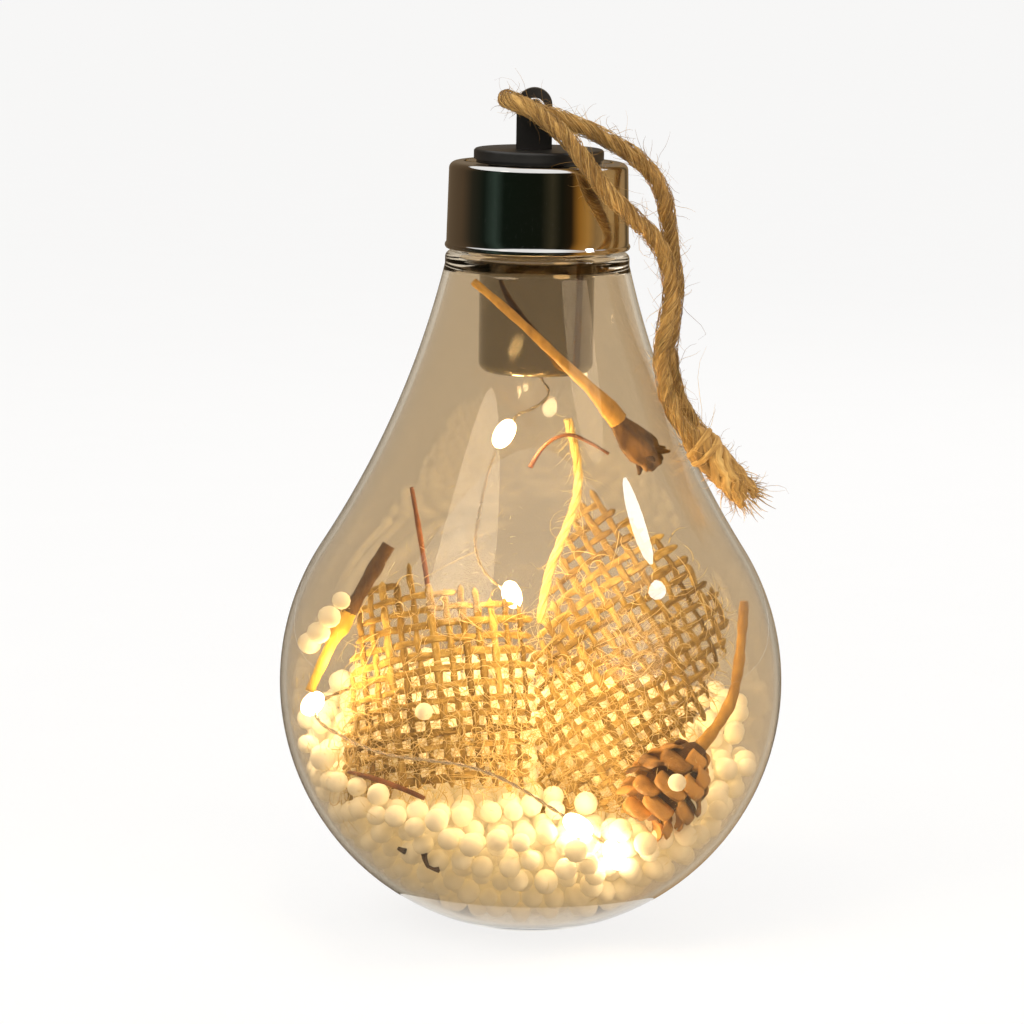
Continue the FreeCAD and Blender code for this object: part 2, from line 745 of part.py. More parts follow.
right_bend = 22.0 * spread
right_edge = stretched([(-14.0, -23.0), (2.0, -23.5), (18.0, 5.0), (17.0, 12.0), (-7.0, 28.0), (-15.0, 2.0)])
right_place = FreeCAD.Placement(laid(15.0, -5.0, 43.0), FreeCAD.Rotation(vector(1, 0, 0), -22.0))
burlap("burlap_right", right_bend, right_edge, 32.0, right_place)

# Dried cone with rings of scales, and its stalk

cone_centre = laid(22.0, -19.4, 27.5)
cone_turn = FreeCAD.Rotation(vector(0, 0, 1), vector(0.628, 0.236, 0.742))
cone_half = number("cone_length") / 2
cone_widest = number("cone_radius")
lift = number("scale_lift")
stalk_thick = number("cone_stalk_radius")
CONE_ROUNDNESS = 0.86
CONE_LEVELS = (-1, -0.7, -0.2, 0.4, 0.8, 1)


def cone_width(level):
    """Radius of the cone's body at a level from -1 at the tip to 1 at the stalk."""
    return max(cone_widest * math.sqrt(1 - level * level * CONE_ROUNDNESS) - lift, stalk_thick)


cone_core = tapered([vector(0, 0, cone_half * level) for level in CONE_LEVELS],
                    [cone_width(level) for level in CONE_LEVELS])
scale_thick = number("scale_thickness")
rows = int(number("scale_rows"))
in_row = int(number("scales_in_row"))
row_step = 2 * cone_half / (rows + 1)


def scale(height, angle):
    """One scale: a shallow roof of four slopes that stands off the cone and points down."""
    width = cone_width(height / cone_half)
    half_wide = math.pi * width / in_row
    drop = 0.5 * row_step
    edge = [vector(width - lift, -half_wide, 0), vector(width + 0.5 * lift, -half_wide, -drop),
            vector(width + lift, 0, -1.5 * drop), vector(width + 0.5 * lift, half_wide, -drop),
            vector(width - lift, half_wide, 0)]
    middle = vector(width + 0.5 * lift, 0, -drop)
    sides = zip(edge, edge[1:] + edge[:1])
    faces = [Part.Face(Part.makePolygon([middle, first, last, middle])) for first, last in sides]
    slopes = [face.extrude(vector(0, 0, scale_thick)) for face in faces]
    solid = slopes[0].multiFuse(slopes[1:]).removeSplitter()
    solid.rotate(vector(0, 0, 0), vector(0, 0, 1), angle)
    solid.translate(vector(0, 0, height))
    return solid


scales = []
for row in range(rows):
    for column in range(in_row):
        scales.append(scale(cone_half - row_step * (row + 0.6), 360 / in_row * (column + 0.5 * (row % 2))))
cone_body = cone_core.multiFuse(scales)
cone_body.Placement = FreeCAD.Placement(cone_centre, cone_turn)
stalk_foot = cone_centre + cone_turn.multVec(vector(0, 0, cone_half - lift))
cone_stalk = tapered([stalk_foot, laid(29.6, -15.2, 35.6), laid(32.6, -12.0, 42.0), laid(33.0, -9.0, 54.0)],
                     [1.25 * stalk_thick, stalk_thick, stalk_thick, 0.9 * stalk_thick])
keep(feature("alder_cone", cone_body.fuse(cone_stalk)))

# Stems, twigs and yarn


def stem(name, places, radii):
    """A tapered stem through drawn places."""
    return keep(feature(name, tapered([laid(*place) for place in places], radii)))


stalk = number("stalk_radius")
head = number("seed_head_radius")
stem("main_stalk",
     [(-9.6, -7.9, 103.6), (-4.1, -10.2, 99.2), (3.9, -10.4, 91.8), (10.2, -9.6, 85.8),
      (12.8, -8.2, 82.2), (16.4, -7.6, 77.6), (20.0, -7.2, 74.0)],
     [0.85 * stalk, stalk, stalk, 1.3 * stalk, 0.7 * head, head, 0.65 * head])
twig = number("twig_radius")
stem("left_twig",
     [(-22.4, -8.6, 61.9), (-27.6, -10.4, 53.2), (-28.8, -10.8, 50.6), (-31.6, -11.8, 46.0),
      (-34.4, -14.2, 39.4)],
     [twig, twig, number("twig_joint_radius"), 0.7 * twig, 0.65 * twig])
thin = number("stem_radius")
stem("thin_stem_upper", [(-19.0, -7.4, 71.0), (-17.0, -7.0, 59.4), (-16.1, -6.9, 53.4)],
     [0.9 * thin, thin, 0.9 * thin])
stem("thin_stem_lower", [(-27.9, -18.8, 28.0), (-22.6, -21.6, 27.6), (-16.0, -24.0, 25.2)],
     [0.75 * thin, thin, thin])
stem("dry_sprig", [(-0.6, 0.8, 73.2), (5.0, 0.6, 79.0), (11.8, 0.8, 75.6)],
     [0.75 * thin, 1.1 * thin, 0.75 * thin])
YARN = [(5.2, 2.4, 80.8), (7.0, 3.0, 75.0), (7.2, 1.8, 68.2), (4.4, -0.8, 61.6), (2.0, -3.2, 55.2),
        (1.4, -5.3, 49.4)]
tube("jute_yarn", [laid(*place) for place in YARN], number("yarn_radius"))

# Bead bed: a heap in the ball under two slopes, with room for the last lamp and the cloth

HEAP_SLOPES = ((27.5, -0.15, 0.25), (19.0, 0.3, 0.3))
ball = Part.makeSphere(fill_radius, ball_centre)
floor_level = number("floor_thickness + fill_gap")
bead = number("bead_radius")
bead_step = number("standing_bead_step")
clear = number("fill_gap")


def slope(height, across, deep):
    """A block whose top passes a drawn height on the axis and climbs along X and along Y."""
    far = 2 * fill_radius
    level = laid(0, 0, height).z
    corners = [vector(x, y, level + across * x + deep * y)
               for x, y in ((-far, -far), (far, -far), (far, far), (-far, far))]
    top = Part.Face(Part.makePolygon(corners + corners[:1]))
    return top.extrude(vector(0, 0, -2 * far))


def heap_level(x, y):
    """Height of the heap over a place: the higher of its slopes."""
    return max(laid(0, 0, height).z + across * x + deep * y for height, across, deep in HEAP_SLOPES)


def stands_clear(centre, fillings):
    """Whether a bead keeps off every filling. The boxes come first, since they are quick."""
    for shape in fillings:
        box = shape.BoundBox
        box.enlarge(bead + clear)
        if box.isInside(centre) and shape.distToShape(Part.Vertex(centre))[0] < bead + clear:
            return False
    return True


def standing_beads(fillings):
    """Beads that stand half out of the heap's top, in staggered rows, clear of what lies there."""
    found = []
    reach = int(fill_radius / bead_step) + 2
    for row in range(-reach, reach + 1):
        for column in range(-reach, reach + 1):
            x = (column + 0.5 * (row % 2)) * bead_step
            y = row * bead_step * math.sin(math.radians(60))
            centre = vector(x, y, heap_level(x, y))
            within = (centre - ball_centre).Length < fill_radius - bead
            if within and stands_clear(centre, fillings):
                found.append(Part.makeSphere(bead, centre))
    print(f"bead_bed: {len(found)} standing beads")
    return found


heap = slope(*HEAP_SLOPES[0]).fuse(slope(*HEAP_SLOPES[1]))
above_floor = Part.makeBox(2 * fill_radius, 2 * fill_radius, 2 * fill_radius,
                           vector(-fill_radius, -fill_radius, floor_level))
rooms = [Part.makeSphere(2 * number("lamp_radius"), string_points[LAMP_POINTS[-1]])]
for bend, edge, place in ((left_bend, left_edge, left_place), (right_bend, right_edge, right_place)):
    room = bent_wall(bend, edge, number("burlap_thickness + 2 * fill_gap"))
    room.Placement = place
    rooms.append(room)
doc.recompute()
lying = rooms + [item.Shape for item in nodes if item.Label != "bulb_shell"]
bed = ball.common(heap).common(above_floor).cut(rooms).multiFuse(standing_beads(lying))
keep(feature("bead_bed", max(bed.Solids, key=lambda solid: solid.Volume)))

doc.recompute()

# Check every object, then write the sub-parts

for item in doc.Objects:
    if "Invalid" in item.State or "Error" in item.State:
        raise RuntimeError(f"{item.Label} did not compute: {item.State}")
for item in nodes:
    if item.Shape.isNull() or not item.Shape.isValid() or not item.Shape.Solids:
        raise RuntimeError(f"{item.Label} has no sound solid")

os.makedirs("parts", exist_ok=True)
for item in nodes:
    item.Shape.exportStep(f"parts/{item.Label}.step")
print(len(nodes), "sub-parts")
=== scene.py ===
"""Looks of the LED globe bulb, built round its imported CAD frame.

Lengths are metres unless a name ends in _mm. Z is up, the origin is the centre of the flat base,
-Y faces the camera and +X is the side where the twine hangs.
"""

import logging
import math
from collections.abc import Sequence
from dataclasses import dataclass, field
from enum import Enum

import bpy
import numpy as np
from mathutils import Matrix, Vector

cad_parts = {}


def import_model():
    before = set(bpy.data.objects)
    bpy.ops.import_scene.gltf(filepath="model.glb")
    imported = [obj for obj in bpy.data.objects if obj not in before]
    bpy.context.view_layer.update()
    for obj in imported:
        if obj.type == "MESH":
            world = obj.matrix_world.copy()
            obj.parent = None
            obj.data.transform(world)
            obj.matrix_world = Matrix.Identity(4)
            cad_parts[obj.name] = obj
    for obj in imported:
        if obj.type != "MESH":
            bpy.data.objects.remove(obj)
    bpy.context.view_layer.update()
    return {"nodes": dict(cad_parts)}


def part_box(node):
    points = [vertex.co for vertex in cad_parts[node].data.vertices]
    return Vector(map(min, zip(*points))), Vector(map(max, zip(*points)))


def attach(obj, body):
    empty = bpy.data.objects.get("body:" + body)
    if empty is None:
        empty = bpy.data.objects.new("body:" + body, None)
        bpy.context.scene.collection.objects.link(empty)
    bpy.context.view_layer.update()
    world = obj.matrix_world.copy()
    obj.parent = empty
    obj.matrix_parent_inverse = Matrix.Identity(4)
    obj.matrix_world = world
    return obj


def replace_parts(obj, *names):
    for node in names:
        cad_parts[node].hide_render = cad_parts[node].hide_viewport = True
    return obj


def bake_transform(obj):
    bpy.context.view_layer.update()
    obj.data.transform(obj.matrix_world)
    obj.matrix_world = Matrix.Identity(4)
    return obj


log = logging.getLogger("globe_bulb")

MM = 0.001
TURN = 2 * math.pi
BALL_MIDDLE = np.array([0.0, 0.0, 39.087 * MM])
Array = np.ndarray
Place = tuple[float, float, float]
Colour = Place
Piece = bpy.types.Object
Material = bpy.types.Material
Socket = bpy.types.NodeSocket
Tree = bpy.types.NodeTree


class Body(Enum):
    """The moving bodies of the frame."""

    BULB = "bulb"
    LEAD = "lead"
    CAP = "cap"
    LID = "lid"


# Numbers on grids


def draws(seed: int) -> np.random.Generator:
    """Seeded random numbers.

    Args:
        seed: the piece's own seed.

    Returns:
        A generator that gives the same numbers in each run.
    """
    return np.random.default_rng(seed)


def unit(vectors: Array) -> Array:
    """Scale vectors to length one.

    Args:
        vectors: any array whose last axis is x, y, z.

    Returns:
        The same array with each vector divided by its length.
    """
    return vectors / np.maximum(np.linalg.norm(vectors, axis=-1, keepdims=True), 1e-12)


def lengths_along(line: Array) -> Array:
    """Distance from the first point to each point of a line, measured along it.

    Args:
        line: (..., points, 3).

    Returns:
        (..., points) running sums of the steps, starting at nought.
    """
    steps = np.linalg.norm(np.diff(line, axis=-2), axis=-1)
    zero = np.zeros(steps.shape[:-1] + (1,))
    return np.concatenate([zero, np.cumsum(steps, axis=-1)], axis=-1)


def evenly(line: Array, step: float) -> Array:
    """Read a line again at even steps.

    Args:
        line: (points, 3).
        step: about how far apart the new points are.

    Returns:
        (new points, 3), interpolated by distance along the line.
    """
    along = lengths_along(line)
    at = np.linspace(0, along[-1], max(3, int(along[-1] / step) + 1))
    return np.stack([np.interp(at, along, line[:, axis]) for axis in range(3)], axis=1)


def spline_line(places_mm: list[Place], step: float) -> Array:
    """The smooth line of a NURBS spline whose control points are the places.

    Args:
        places_mm: control points in millimetres.
        step: about how far apart the points of the line are, in metres.

    Returns:
        (points, 3) in metres.
    """
    curve = bpy.data.curves.new("line", "CURVE")
    curve.dimensions = "3D"
    curve.resolution_u = 16
    spline = curve.splines.new("NURBS")
    spline.points.add(len(places_mm) - 1)
    corners = np.ones((len(places_mm), 4))
    corners[:, :3] = np.array(places_mm) * MM
    spline.points.foreach_set("co", corners.ravel())
    spline.order_u = 3
    spline.use_endpoint_u = True
    holder = bpy.data.objects.new("line", curve)
    mesh = bpy.data.meshes.new_from_object(holder)
    line = np.zeros(len(mesh.vertices) * 3)
    mesh.vertices.foreach_get("co", line)
    bpy.data.objects.remove(holder)
    bpy.data.curves.remove(curve)
    bpy.data.meshes.remove(mesh)
    return evenly(line.reshape(-1, 3), step)


def frames(line: Array) -> tuple[Array, Array, Array]:
    """Directions along and across a line, carried from ring to ring without twist.

    Each side direction is the one before it less its share along the new tangent.

    Args:
        line: (points, 3).

    Returns:
        Tangents, sides and their cross product, each (points, 3).
    """
    tangent = unit(np.gradient(line, axis=0))
    side = np.empty_like(tangent)
    last = np.cross(tangent[0], (0.0, 0.0, 1.0) if abs(tangent[0, 2]) < 0.9 else (1.0, 0.0, 0.0))
    for ring, way in enumerate(tangent):
        last = unit(last - way * (last @ way))
        side[ring] = last
    return tangent, side, np.cross(tangent, side)


def ring_angles(sides: int) -> Array:
    """Even angles round a full turn, from nought."""
    return np.arange(sides) * TURN / sides


def around(angle: Array, side: Array, across: Array) -> Array:
    """Direction at an angle round a line: cosine times one side plus sine times the other.

    Args:
        angle: (...) radians.
        side: (..., 3) first direction.
        across: (..., 3) second direction.

    Returns:
        (..., 3).
    """
    return np.cos(angle)[..., None] * side + np.sin(angle)[..., None] * across


def waves(generator: np.random.Generator, count: int, places: Array, size: float) -> Array:
    """Smooth random numbers along a line: a sum of a few sine waves with random phases.

    Args:
        generator: source of the phases.
        count: how many separate sets.
        places: (rows,) distances in units of the longest wave.
        size: greatest swing.

    Returns:
        (count, rows).
    """
    total = np.zeros((count, len(places)))
    for octave in (1, 2, 4):
        phase = generator.uniform(0, TURN, (count, 1))
        total += np.sin(TURN * places[None] * octave + phase) / octave
    return total * size / 1.75


def within_wall(points: Array, reach: float | Array = 38.4 * MM) -> Array:
    """Pull points that lie too far out back towards the ball's centre.

    Args:
        points: (..., 3).
        reach: greatest distance from the centre, below the flare, for all or for each.

    Returns:
        The points, moved where they were too far out.
    """
    out = points - BALL_MIDDLE
    away = np.linalg.norm(out, axis=-1, keepdims=True)
    return BALL_MIDDLE + out * np.minimum(1, reach / away)


# Meshes from arrays


class Pile:
    """Points and faces gathered as arrays, then put into one mesh."""

    def __init__(self) -> None:
        """Start with nothing."""
        self.points: list[Array] = []
        self.tones: list[Array] = []
        self.quads: list[Array] = []
        self.quad_uvs: list[Array] = []
        self.tris: list[Array] = []
        self.tri_uvs: list[Array] = []
        self.size = 0

    def add_points(self, points: Array, tones: Array | float = 0.5) -> int:
        """Add points.

        Args:
            points: (..., 3).
            tones: one number, or one for each point, from 0 dark to 1 light.

        Returns:
            The index of the first one.
        """
        first = self.size
        flat = points.reshape(-1, 3)
        self.points.append(flat)
        self.tones.append(np.broadcast_to(np.asarray(tones, float), points.shape[:-1]).reshape(-1))
        self.size += len(flat)
        return first

    def add_faces(self, faces: Array) -> None:
        """Add faces of three or four corners, (faces, corners), with nothing in their UV map."""
        kept, uvs = (self.tris, self.tri_uvs) if faces.shape[1] == 3 else (self.quads, self.quad_uvs)
        kept.append(faces)
        uvs.append(np.zeros((*faces.shape, 2)))

    def tubes(self, rings: Array, tones: Array | float = 0.5) -> "Pile":
        """Closed tubes: quads between neighbouring rings and a fan on each end.

        Args:
            rings: (tubes, rows, sides, 3), each ring anticlockwise as seen from the tube's end.
            tones: one number, or (tubes,).

        Returns:
            The pile itself, as the next two do.
        """
        count, rows, sides = rings.shape[:3]
        shade = np.broadcast_to(np.asarray(tones, float).reshape(-1, 1, 1), (count, rows, sides))
        first = self.add_points(rings, shade)
        index = first + np.arange(count * rows * sides).reshape(count, rows, sides)
        onward = np.roll(index, -1, axis=2)
        along = lengths_along(rings.mean(axis=2))
        low, high = along[:, :-1, None], along[:, 1:, None]
        left = np.arange(sides) / sides
        right = left + 1 / sides
        self.quads.append(np.stack(
            [index[:, :-1], onward[:, :-1], onward[:, 1:], index[:, 1:]], axis=-1).reshape(-1, 4))
        corners = [(low, left), (low, right), (high, right), (high, left)]
        self.quad_uvs.append(np.stack(
            [np.stack(np.broadcast_arrays(u, v), axis=-1) for u, v in corners], axis=3).reshape(-1, 4, 2))
        tips = rings[:, [0, -1]].mean(axis=2)
        tip = self.add_points(tips, shade[:, :2, 0]) + np.arange(count * 2).reshape(count, 2)
        ends = [np.stack(np.broadcast_arrays(tip[:, :1], onward[:, 0], index[:, 0]), axis=-1),
                np.stack(np.broadcast_arrays(tip[:, 1:], index[:, -1], onward[:, -1]), axis=-1)]
        self.add_faces(np.concatenate(ends, axis=1).reshape(-1, 3))
        return self

    def lathe(self, profile: Array, segments: int, ridge: Array) -> "Pile":
        """A profile turned round Z, closed where it meets the axis or itself.

        Args:
            profile: (rows, 2) radius and height, walked with the solid on its left.
            segments: how many columns.
            ridge: (rows, segments) added to the radius.
        """
        angle = ring_angles(segments)
        radius = profile[:, :1] + ridge
        radius = np.where(profile[:, :1] > 1e-9, radius, 0.0)
        grid = np.stack(np.broadcast_arrays(
            radius * np.cos(angle), radius * np.sin(angle), profile[:, 1:2]), axis=-1)
        closed = bool(np.allclose(profile[0], profile[-1]))
        if closed:
            grid = grid[:-1]
        rows = len(grid)
        poles = np.isclose(profile[:rows, 0], 0.0)
        index = np.empty((rows, segments), int)
        for row in range(rows):
            if poles[row]:
                index[row] = self.add_points(grid[row, :1])
            else:
                index[row] = self.add_points(grid[row]) + np.arange(segments)
        lower = index if closed else index[:-1]
        upper = np.roll(index, -1, axis=0) if closed else index[1:]
        next_lower, next_upper = np.roll(lower, -1, axis=1), np.roll(upper, -1, axis=1)
        quads = np.stack([lower, next_lower, next_upper, upper], axis=-1).reshape(-1, 4)
        flat_low = quads[:, 0] == quads[:, 1]
        flat_high = quads[:, 2] == quads[:, 3]
        self.add_faces(quads[~(flat_low | flat_high)])
        self.add_faces(quads[flat_high & ~flat_low][:, [0, 1, 2]])
        self.add_faces(quads[flat_low & ~flat_high][:, [0, 2, 3]])
        return self

    def balls(self, centres: Array, radii: Array, tones: Array) -> "Pile":
        """Round beads: one twenty-sided ball, divided once, moved and scaled to each place.

        Args:
            centres: (beads, 3).
            radii: (beads,).
            tones: (beads,).
        """
        shape, faces = round_ball()
        points = centres[:, None] + shape[None] * radii[:, None, None]
        first = self.add_points(points, np.broadcast_to(tones[:, None], points.shape[:2]))
        offsets = first + np.arange(len(centres))[:, None, None] * len(shape)
        self.add_faces((faces[None] + offsets).reshape(-1, 3))
        return self

    def sheets(self, fronts: Array, backs: Array, tones: Array | float = 0.5) -> None:
        """Thin closed shells: a front grid, a back grid and the rim between them.

        Args:
            fronts: (shells, rows, columns, 3), seen anticlockwise from outside.
            backs: the same grids moved inwards.
            tones: one number, or (shells,).
        """
        count, rows, columns = fronts.shape[:3]
        shade = np.broadcast_to(np.asarray(tones, float).reshape(-1, 1, 1), fronts.shape[:3])
        index = np.arange(count * rows * columns).reshape(count, rows, columns)
        front = self.add_points(fronts, shade) + index
        back = self.add_points(backs, shade) + index
        faces = [
            (front[:, :-1, :-1], front[:, :-1, 1:], front[:, 1:, 1:], front[:, 1:, :-1]),
            (back[:, :-1, :-1], back[:, 1:, :-1], back[:, 1:, 1:], back[:, :-1, 1:]),
            (front[:, 0, 1:], front[:, 0, :-1], back[:, 0, :-1], back[:, 0, 1:]),
            (front[:, -1, :-1], front[:, -1, 1:], back[:, -1, 1:], back[:, -1, :-1]),
            (front[:, :-1, 0], front[:, 1:, 0], back[:, 1:, 0], back[:, :-1, 0]),
            (front[:, 1:, -1], front[:, :-1, -1], back[:, :-1, -1], back[:, 1:, -1]),
        ]
        for face in faces:
            self.add_faces(np.stack(face, axis=-1).reshape(-1, 4))

    def build(self, name: str) -> Piece:
        """Put everything into one mesh with smooth faces.

        Args:
            name: the piece's name.

        Returns:
            The new object, at the origin.
        """
        quads = np.concatenate(self.quads) if self.quads else np.zeros((0, 4), int)
        tris = np.concatenate(self.tris) if self.tris else np.zeros((0, 3), int)
        corners = np.concatenate([quads.ravel(), tris.ravel()]).astype(np.int32)
        sides = np.concatenate([np.full(len(quads), 4), np.full(len(tris), 3)])
        starts = np.concatenate([[0], np.cumsum(sides)[:-1]]).astype(np.int32)
        uvs = [part.reshape(-1, 2) for part in self.quad_uvs + self.tri_uvs]
        mesh = bpy.data.meshes.new(name)
        mesh.vertices.add(self.size)
        mesh.vertices.foreach_set("co", np.concatenate(self.points).astype(np.float32).ravel())
        mesh.loops.add(len(corners))
        mesh.loops.foreach_set("vertex_index", corners)
        mesh.polygons.add(len(starts))
        mesh.polygons.foreach_set("loop_start", starts)
        mesh.polygons.foreach_set("use_smooth", np.ones(len(starts), bool))
        mesh.uv_layers.new(name="along_around").data.foreach_set(
            "uv", np.concatenate(uvs).astype(np.float32).ravel())
        tone = mesh.attributes.new("tone", "FLOAT", "POINT")
        tone.data.foreach_set("value", np.concatenate(self.tones).astype(np.float32))
        mesh.update(calc_edges=True)
        piece = bpy.data.objects.new(name, mesh)
        bpy.context.scene.collection.objects.link(piece)
        return piece


def round_ball() -> tuple[Array, Array]:
    """A ball of eighty triangles: an icosahedron with each face cut in four and pushed out.

    Returns:
        (42, 3) points on the unit sphere and (80, 3) faces.
    """
    golden = (1 + math.sqrt(5)) / 2
    corners = [(-1, golden, 0), (1, golden, 0), (-1, -golden, 0), (1, -golden, 0),
               (0, -1, golden), (0, 1, golden), (0, -1, -golden), (0, 1, -golden),
               (golden, 0, -1), (golden, 0, 1), (-golden, 0, -1), (-golden, 0, 1)]
    faces = np.array([(0, 11, 5), (0, 5, 1), (0, 1, 7), (0, 7, 10), (0, 10, 11), (1, 5, 9), (5, 11, 4),
                      (11, 10, 2), (10, 7, 6), (7, 1, 8), (3, 9, 4), (3, 4, 2), (3, 2, 6), (3, 6, 8),
                      (3, 8, 9), (4, 9, 5), (2, 4, 11), (6, 2, 10), (8, 6, 7), (9, 8, 1)])
    points = np.array(corners, float)
    edges = np.sort(np.concatenate([faces[:, [0, 1]], faces[:, [1, 2]], faces[:, [2, 0]]]), axis=1)
    pairs, place = np.unique(edges, axis=0, return_inverse=True)
    middle = len(points) + place.reshape(3, -1)
    points = unit(np.concatenate([points, points[pairs].mean(axis=1)]))
    a, b, c = faces.T
    ab, bc, ca = middle
    divided = [(a, ab, ca), (b, bc, ab), (c, ca, bc), (ab, bc, ca)]
    return points, np.concatenate([np.stack(face, axis=1) for face in divided])


def tube_rings(line: Array, radii: Array, sides: int) -> Array:
    """Rings along one line: centre plus radius times cosine and sine of the side directions.

    Args:
        line: (rows, 3).
        radii: (rows,) or (rows, sides).
        sides: points in a ring.

    Returns:
        (1, rows, sides, 3).
    """
    _, side, across = frames(line)
    radii = np.broadcast_to(radii.reshape(len(line), -1), (len(line), sides))[..., None]
    return (line[:, None] + radii * around(ring_angles(sides), side[:, None], across[:, None]))[None]


def hair_rings(lines: Array, radius: float | Array, sides: int = 3) -> Array:
    """Thin rings on many short lines at once, thinner towards their ends.

    Args:
        lines: (hairs, rows, 3).
        radius: one radius, or (hairs,).
        sides: points in a ring.

    Returns:
        (hairs, rows, sides, 3).
    """
    tangent = unit(np.gradient(lines, axis=1))
    lean = np.where(np.abs(tangent[..., 2:]) < 0.8, (0.0, 0.0, 1.0), (1.0, 0.0, 0.0))
    side = unit(np.cross(tangent, lean))
    across = np.cross(tangent, side)
    rows = lines.shape[1]
    taper = 1 - 0.65 * np.linspace(0, 1, rows) ** 2
    size = np.broadcast_to(np.asarray(radius, float).reshape(-1, 1), (len(lines), rows)) * taper
    spread = around(ring_angles(sides), side[:, :, None], across[:, :, None])
    return lines[:, :, None] + size[:, :, None, None] * spread


def hair_lines(starts: Array, ways: Array, lengths: Array, curl: float, seed: int, rows: int = 6) -> Array:
    """Curved fibres: each step follows its way, which turns steadily by a random bend.

    Args:
        starts: (hairs, 3).
        ways: (hairs, 3) first directions.
        lengths: (hairs,).
        curl: how strongly they bend.
        seed: for the bends.
        rows: points on each.

    Returns:
        (hairs, rows, 3).
    """
    generator = draws(seed)
    bend = unit(generator.normal(size=(len(starts), 3))) * curl
    kink = unit(generator.normal(size=(len(starts), 3))) * curl * 0.6
    share = np.linspace(0, 1, rows)[None, :, None]
    way = unit(unit(ways)[:, None] + bend[:, None] * share + kink[:, None] * np.sin(share * 5))
    steps = way * lengths[:, None, None] / (rows - 1)
    return starts[:, None] + np.concatenate(
        [np.zeros_like(steps[:, :1]), np.cumsum(steps[:, :-1], axis=1)], axis=1)


# Finishes


class Nodes:
    """A node tree with a short call that adds a node and joins its inputs."""

    def __init__(self, tree: Tree) -> None:
        """Work on a tree."""
        self.tree = tree

    def add(self, kind: str, inputs: dict | None = None, **settings: object) -> bpy.types.Node:
        """Add a node.

        Args:
            kind: the node's type, without its ShaderNode beginning.
            inputs: value or output for each named or numbered input.
            settings: the node's own properties.

        Returns:
            The node.
        """
        node = self.tree.nodes.new("ShaderNode" + kind)
        for name, value in settings.items():
            setattr(node, name, value)
        self.feed(node, inputs or {})
        return node

    def feed(self, node: bpy.types.Node, inputs: dict) -> None:
        """Give named or numbered inputs of a node their values, or the outputs that drive them."""
        for name, value in inputs.items():
            if isinstance(value, Socket):
                self.tree.links.new(value, node.inputs[name])
            else:
                node.inputs[name].default_value = value

    def math(self, operation: str, first: object, second: object = 0.0) -> Socket:
        """The output of a Math node on two values."""
        return self.add("Math", {0: first, 1: second}, operation=operation).outputs[0]

    def ramp(self, factor: Socket, stops: list[tuple[float, Colour]]) -> Socket:
        """A colour ramp's colour.

        Args:
            factor: what drives it.
            stops: places and colours.

        Returns:
            The colour output.
        """
        node = self.add("ValToRGB", {0: factor})
        stop_list = node.color_ramp.elements
        while len(stop_list) < len(stops):
            stop_list.new(1.0)
        for stop, (place, colour) in zip(stop_list, stops):
            stop.position = place
            stop.color = (*colour, 1.0)
        return node.outputs[0]

    def noise(self, vector: object, scale: float, detail: float = 3.0) -> Socket:
        """A noise texture's value."""
        return self.add("TexNoise", {"Vector": vector, "Scale": scale, "Detail": detail}).outputs[0]

    def bump(self, height: Socket, distance: float, strength: float) -> Socket:
        """A Bump node's normal."""
        return self.add("Bump", {"Height": height, "Distance": distance, "Strength": strength}).outputs[0]

    def placed(self, scale: Place = (1.0, 1.0, 1.0),
               uv: bool = False) -> Socket:
        """Object coordinates, or the piece's UV map, scaled.

        Args:
            scale: share kept along each axis.
            uv: whether the UV map is read instead.

        Returns:
            The scaled vector.
        """
        source = self.add("TexCoord").outputs["UV" if uv else "Object"]
        return self.add("Mapping", {"Vector": source, "Scale": scale}).outputs[0]

    def group(self, tree: Tree, inputs: dict) -> bpy.types.Node:
        """Place a node group with its own values."""
        return self.add("Group", inputs, node_tree=tree)

    def spread(self, value: object, low: float, high: float) -> Socket:
        """A value from nought to one, mapped to lie between low and high."""
        return self.add("MapRange", {0: value, 3: low, 4: high}).outputs[0]

    def cut(self, value: object, low: float, high: float) -> Socket:
        """A value from low to high, mapped to lie between nought and one."""
        return self.add("MapRange", {0: value, 1: low, 2: high}).outputs[0]

    def tone(self) -> Socket:
        """The mesh's own tone attribute."""
        return self.add("Attribute", attribute_name="tone").outputs["Fac"]

    def mix(self, share: object, first: object, second: object) -> Socket:
        """Two colours mixed."""
        return self.add("Mix", {0: share, 6: first, 7: second}, data_type="RGBA").outputs[2]

    def background_share(self) -> Socket:
        """One where the eye, a reflection or clear wall looks on, and nought for the light itself."""
        path = self.add("LightPath")
        seen = self.math("MAXIMUM", path.outputs["Is Camera Ray"], path.outputs["Is Glossy Ray"])
        return self.math("MAXIMUM", seen, path.outputs["Is Transmission Ray"])


def new_group(name: str, inputs: dict[str, str],
              outputs: dict[str, str]) -> tuple[Tree, Nodes, dict]:
    """Start a node group.

    Args:
        name: the group's name.
        inputs: socket type for each input name.
        outputs: socket type for each output name.

    Returns:
        The tree, its Nodes, and its input sockets by name.
    """
    tree = bpy.data.node_groups.new(name, "ShaderNodeTree")
    for socket, kind in inputs.items():
        tree.interface.new_socket(socket, in_out="INPUT", socket_type=kind)
    for socket, kind in outputs.items():
        tree.interface.new_socket(socket, in_out="OUTPUT", socket_type=kind)
    start = tree.nodes.new("NodeGroupInput")
    return tree, Nodes(tree), {socket: start.outputs[socket] for socket in inputs}


def end_group(tree: Tree, results: dict[str, Socket]) -> Tree:
    """Join a group's results to its outputs and return it."""
    end = tree.nodes.new("NodeGroupOutput")
    for name, socket in results.items():
        tree.links.new(socket, end.inputs[name])
    return tree


VECTOR, VALUE, RGB = "NodeSocketVector", "NodeSocketFloat", "NodeSocketColor"


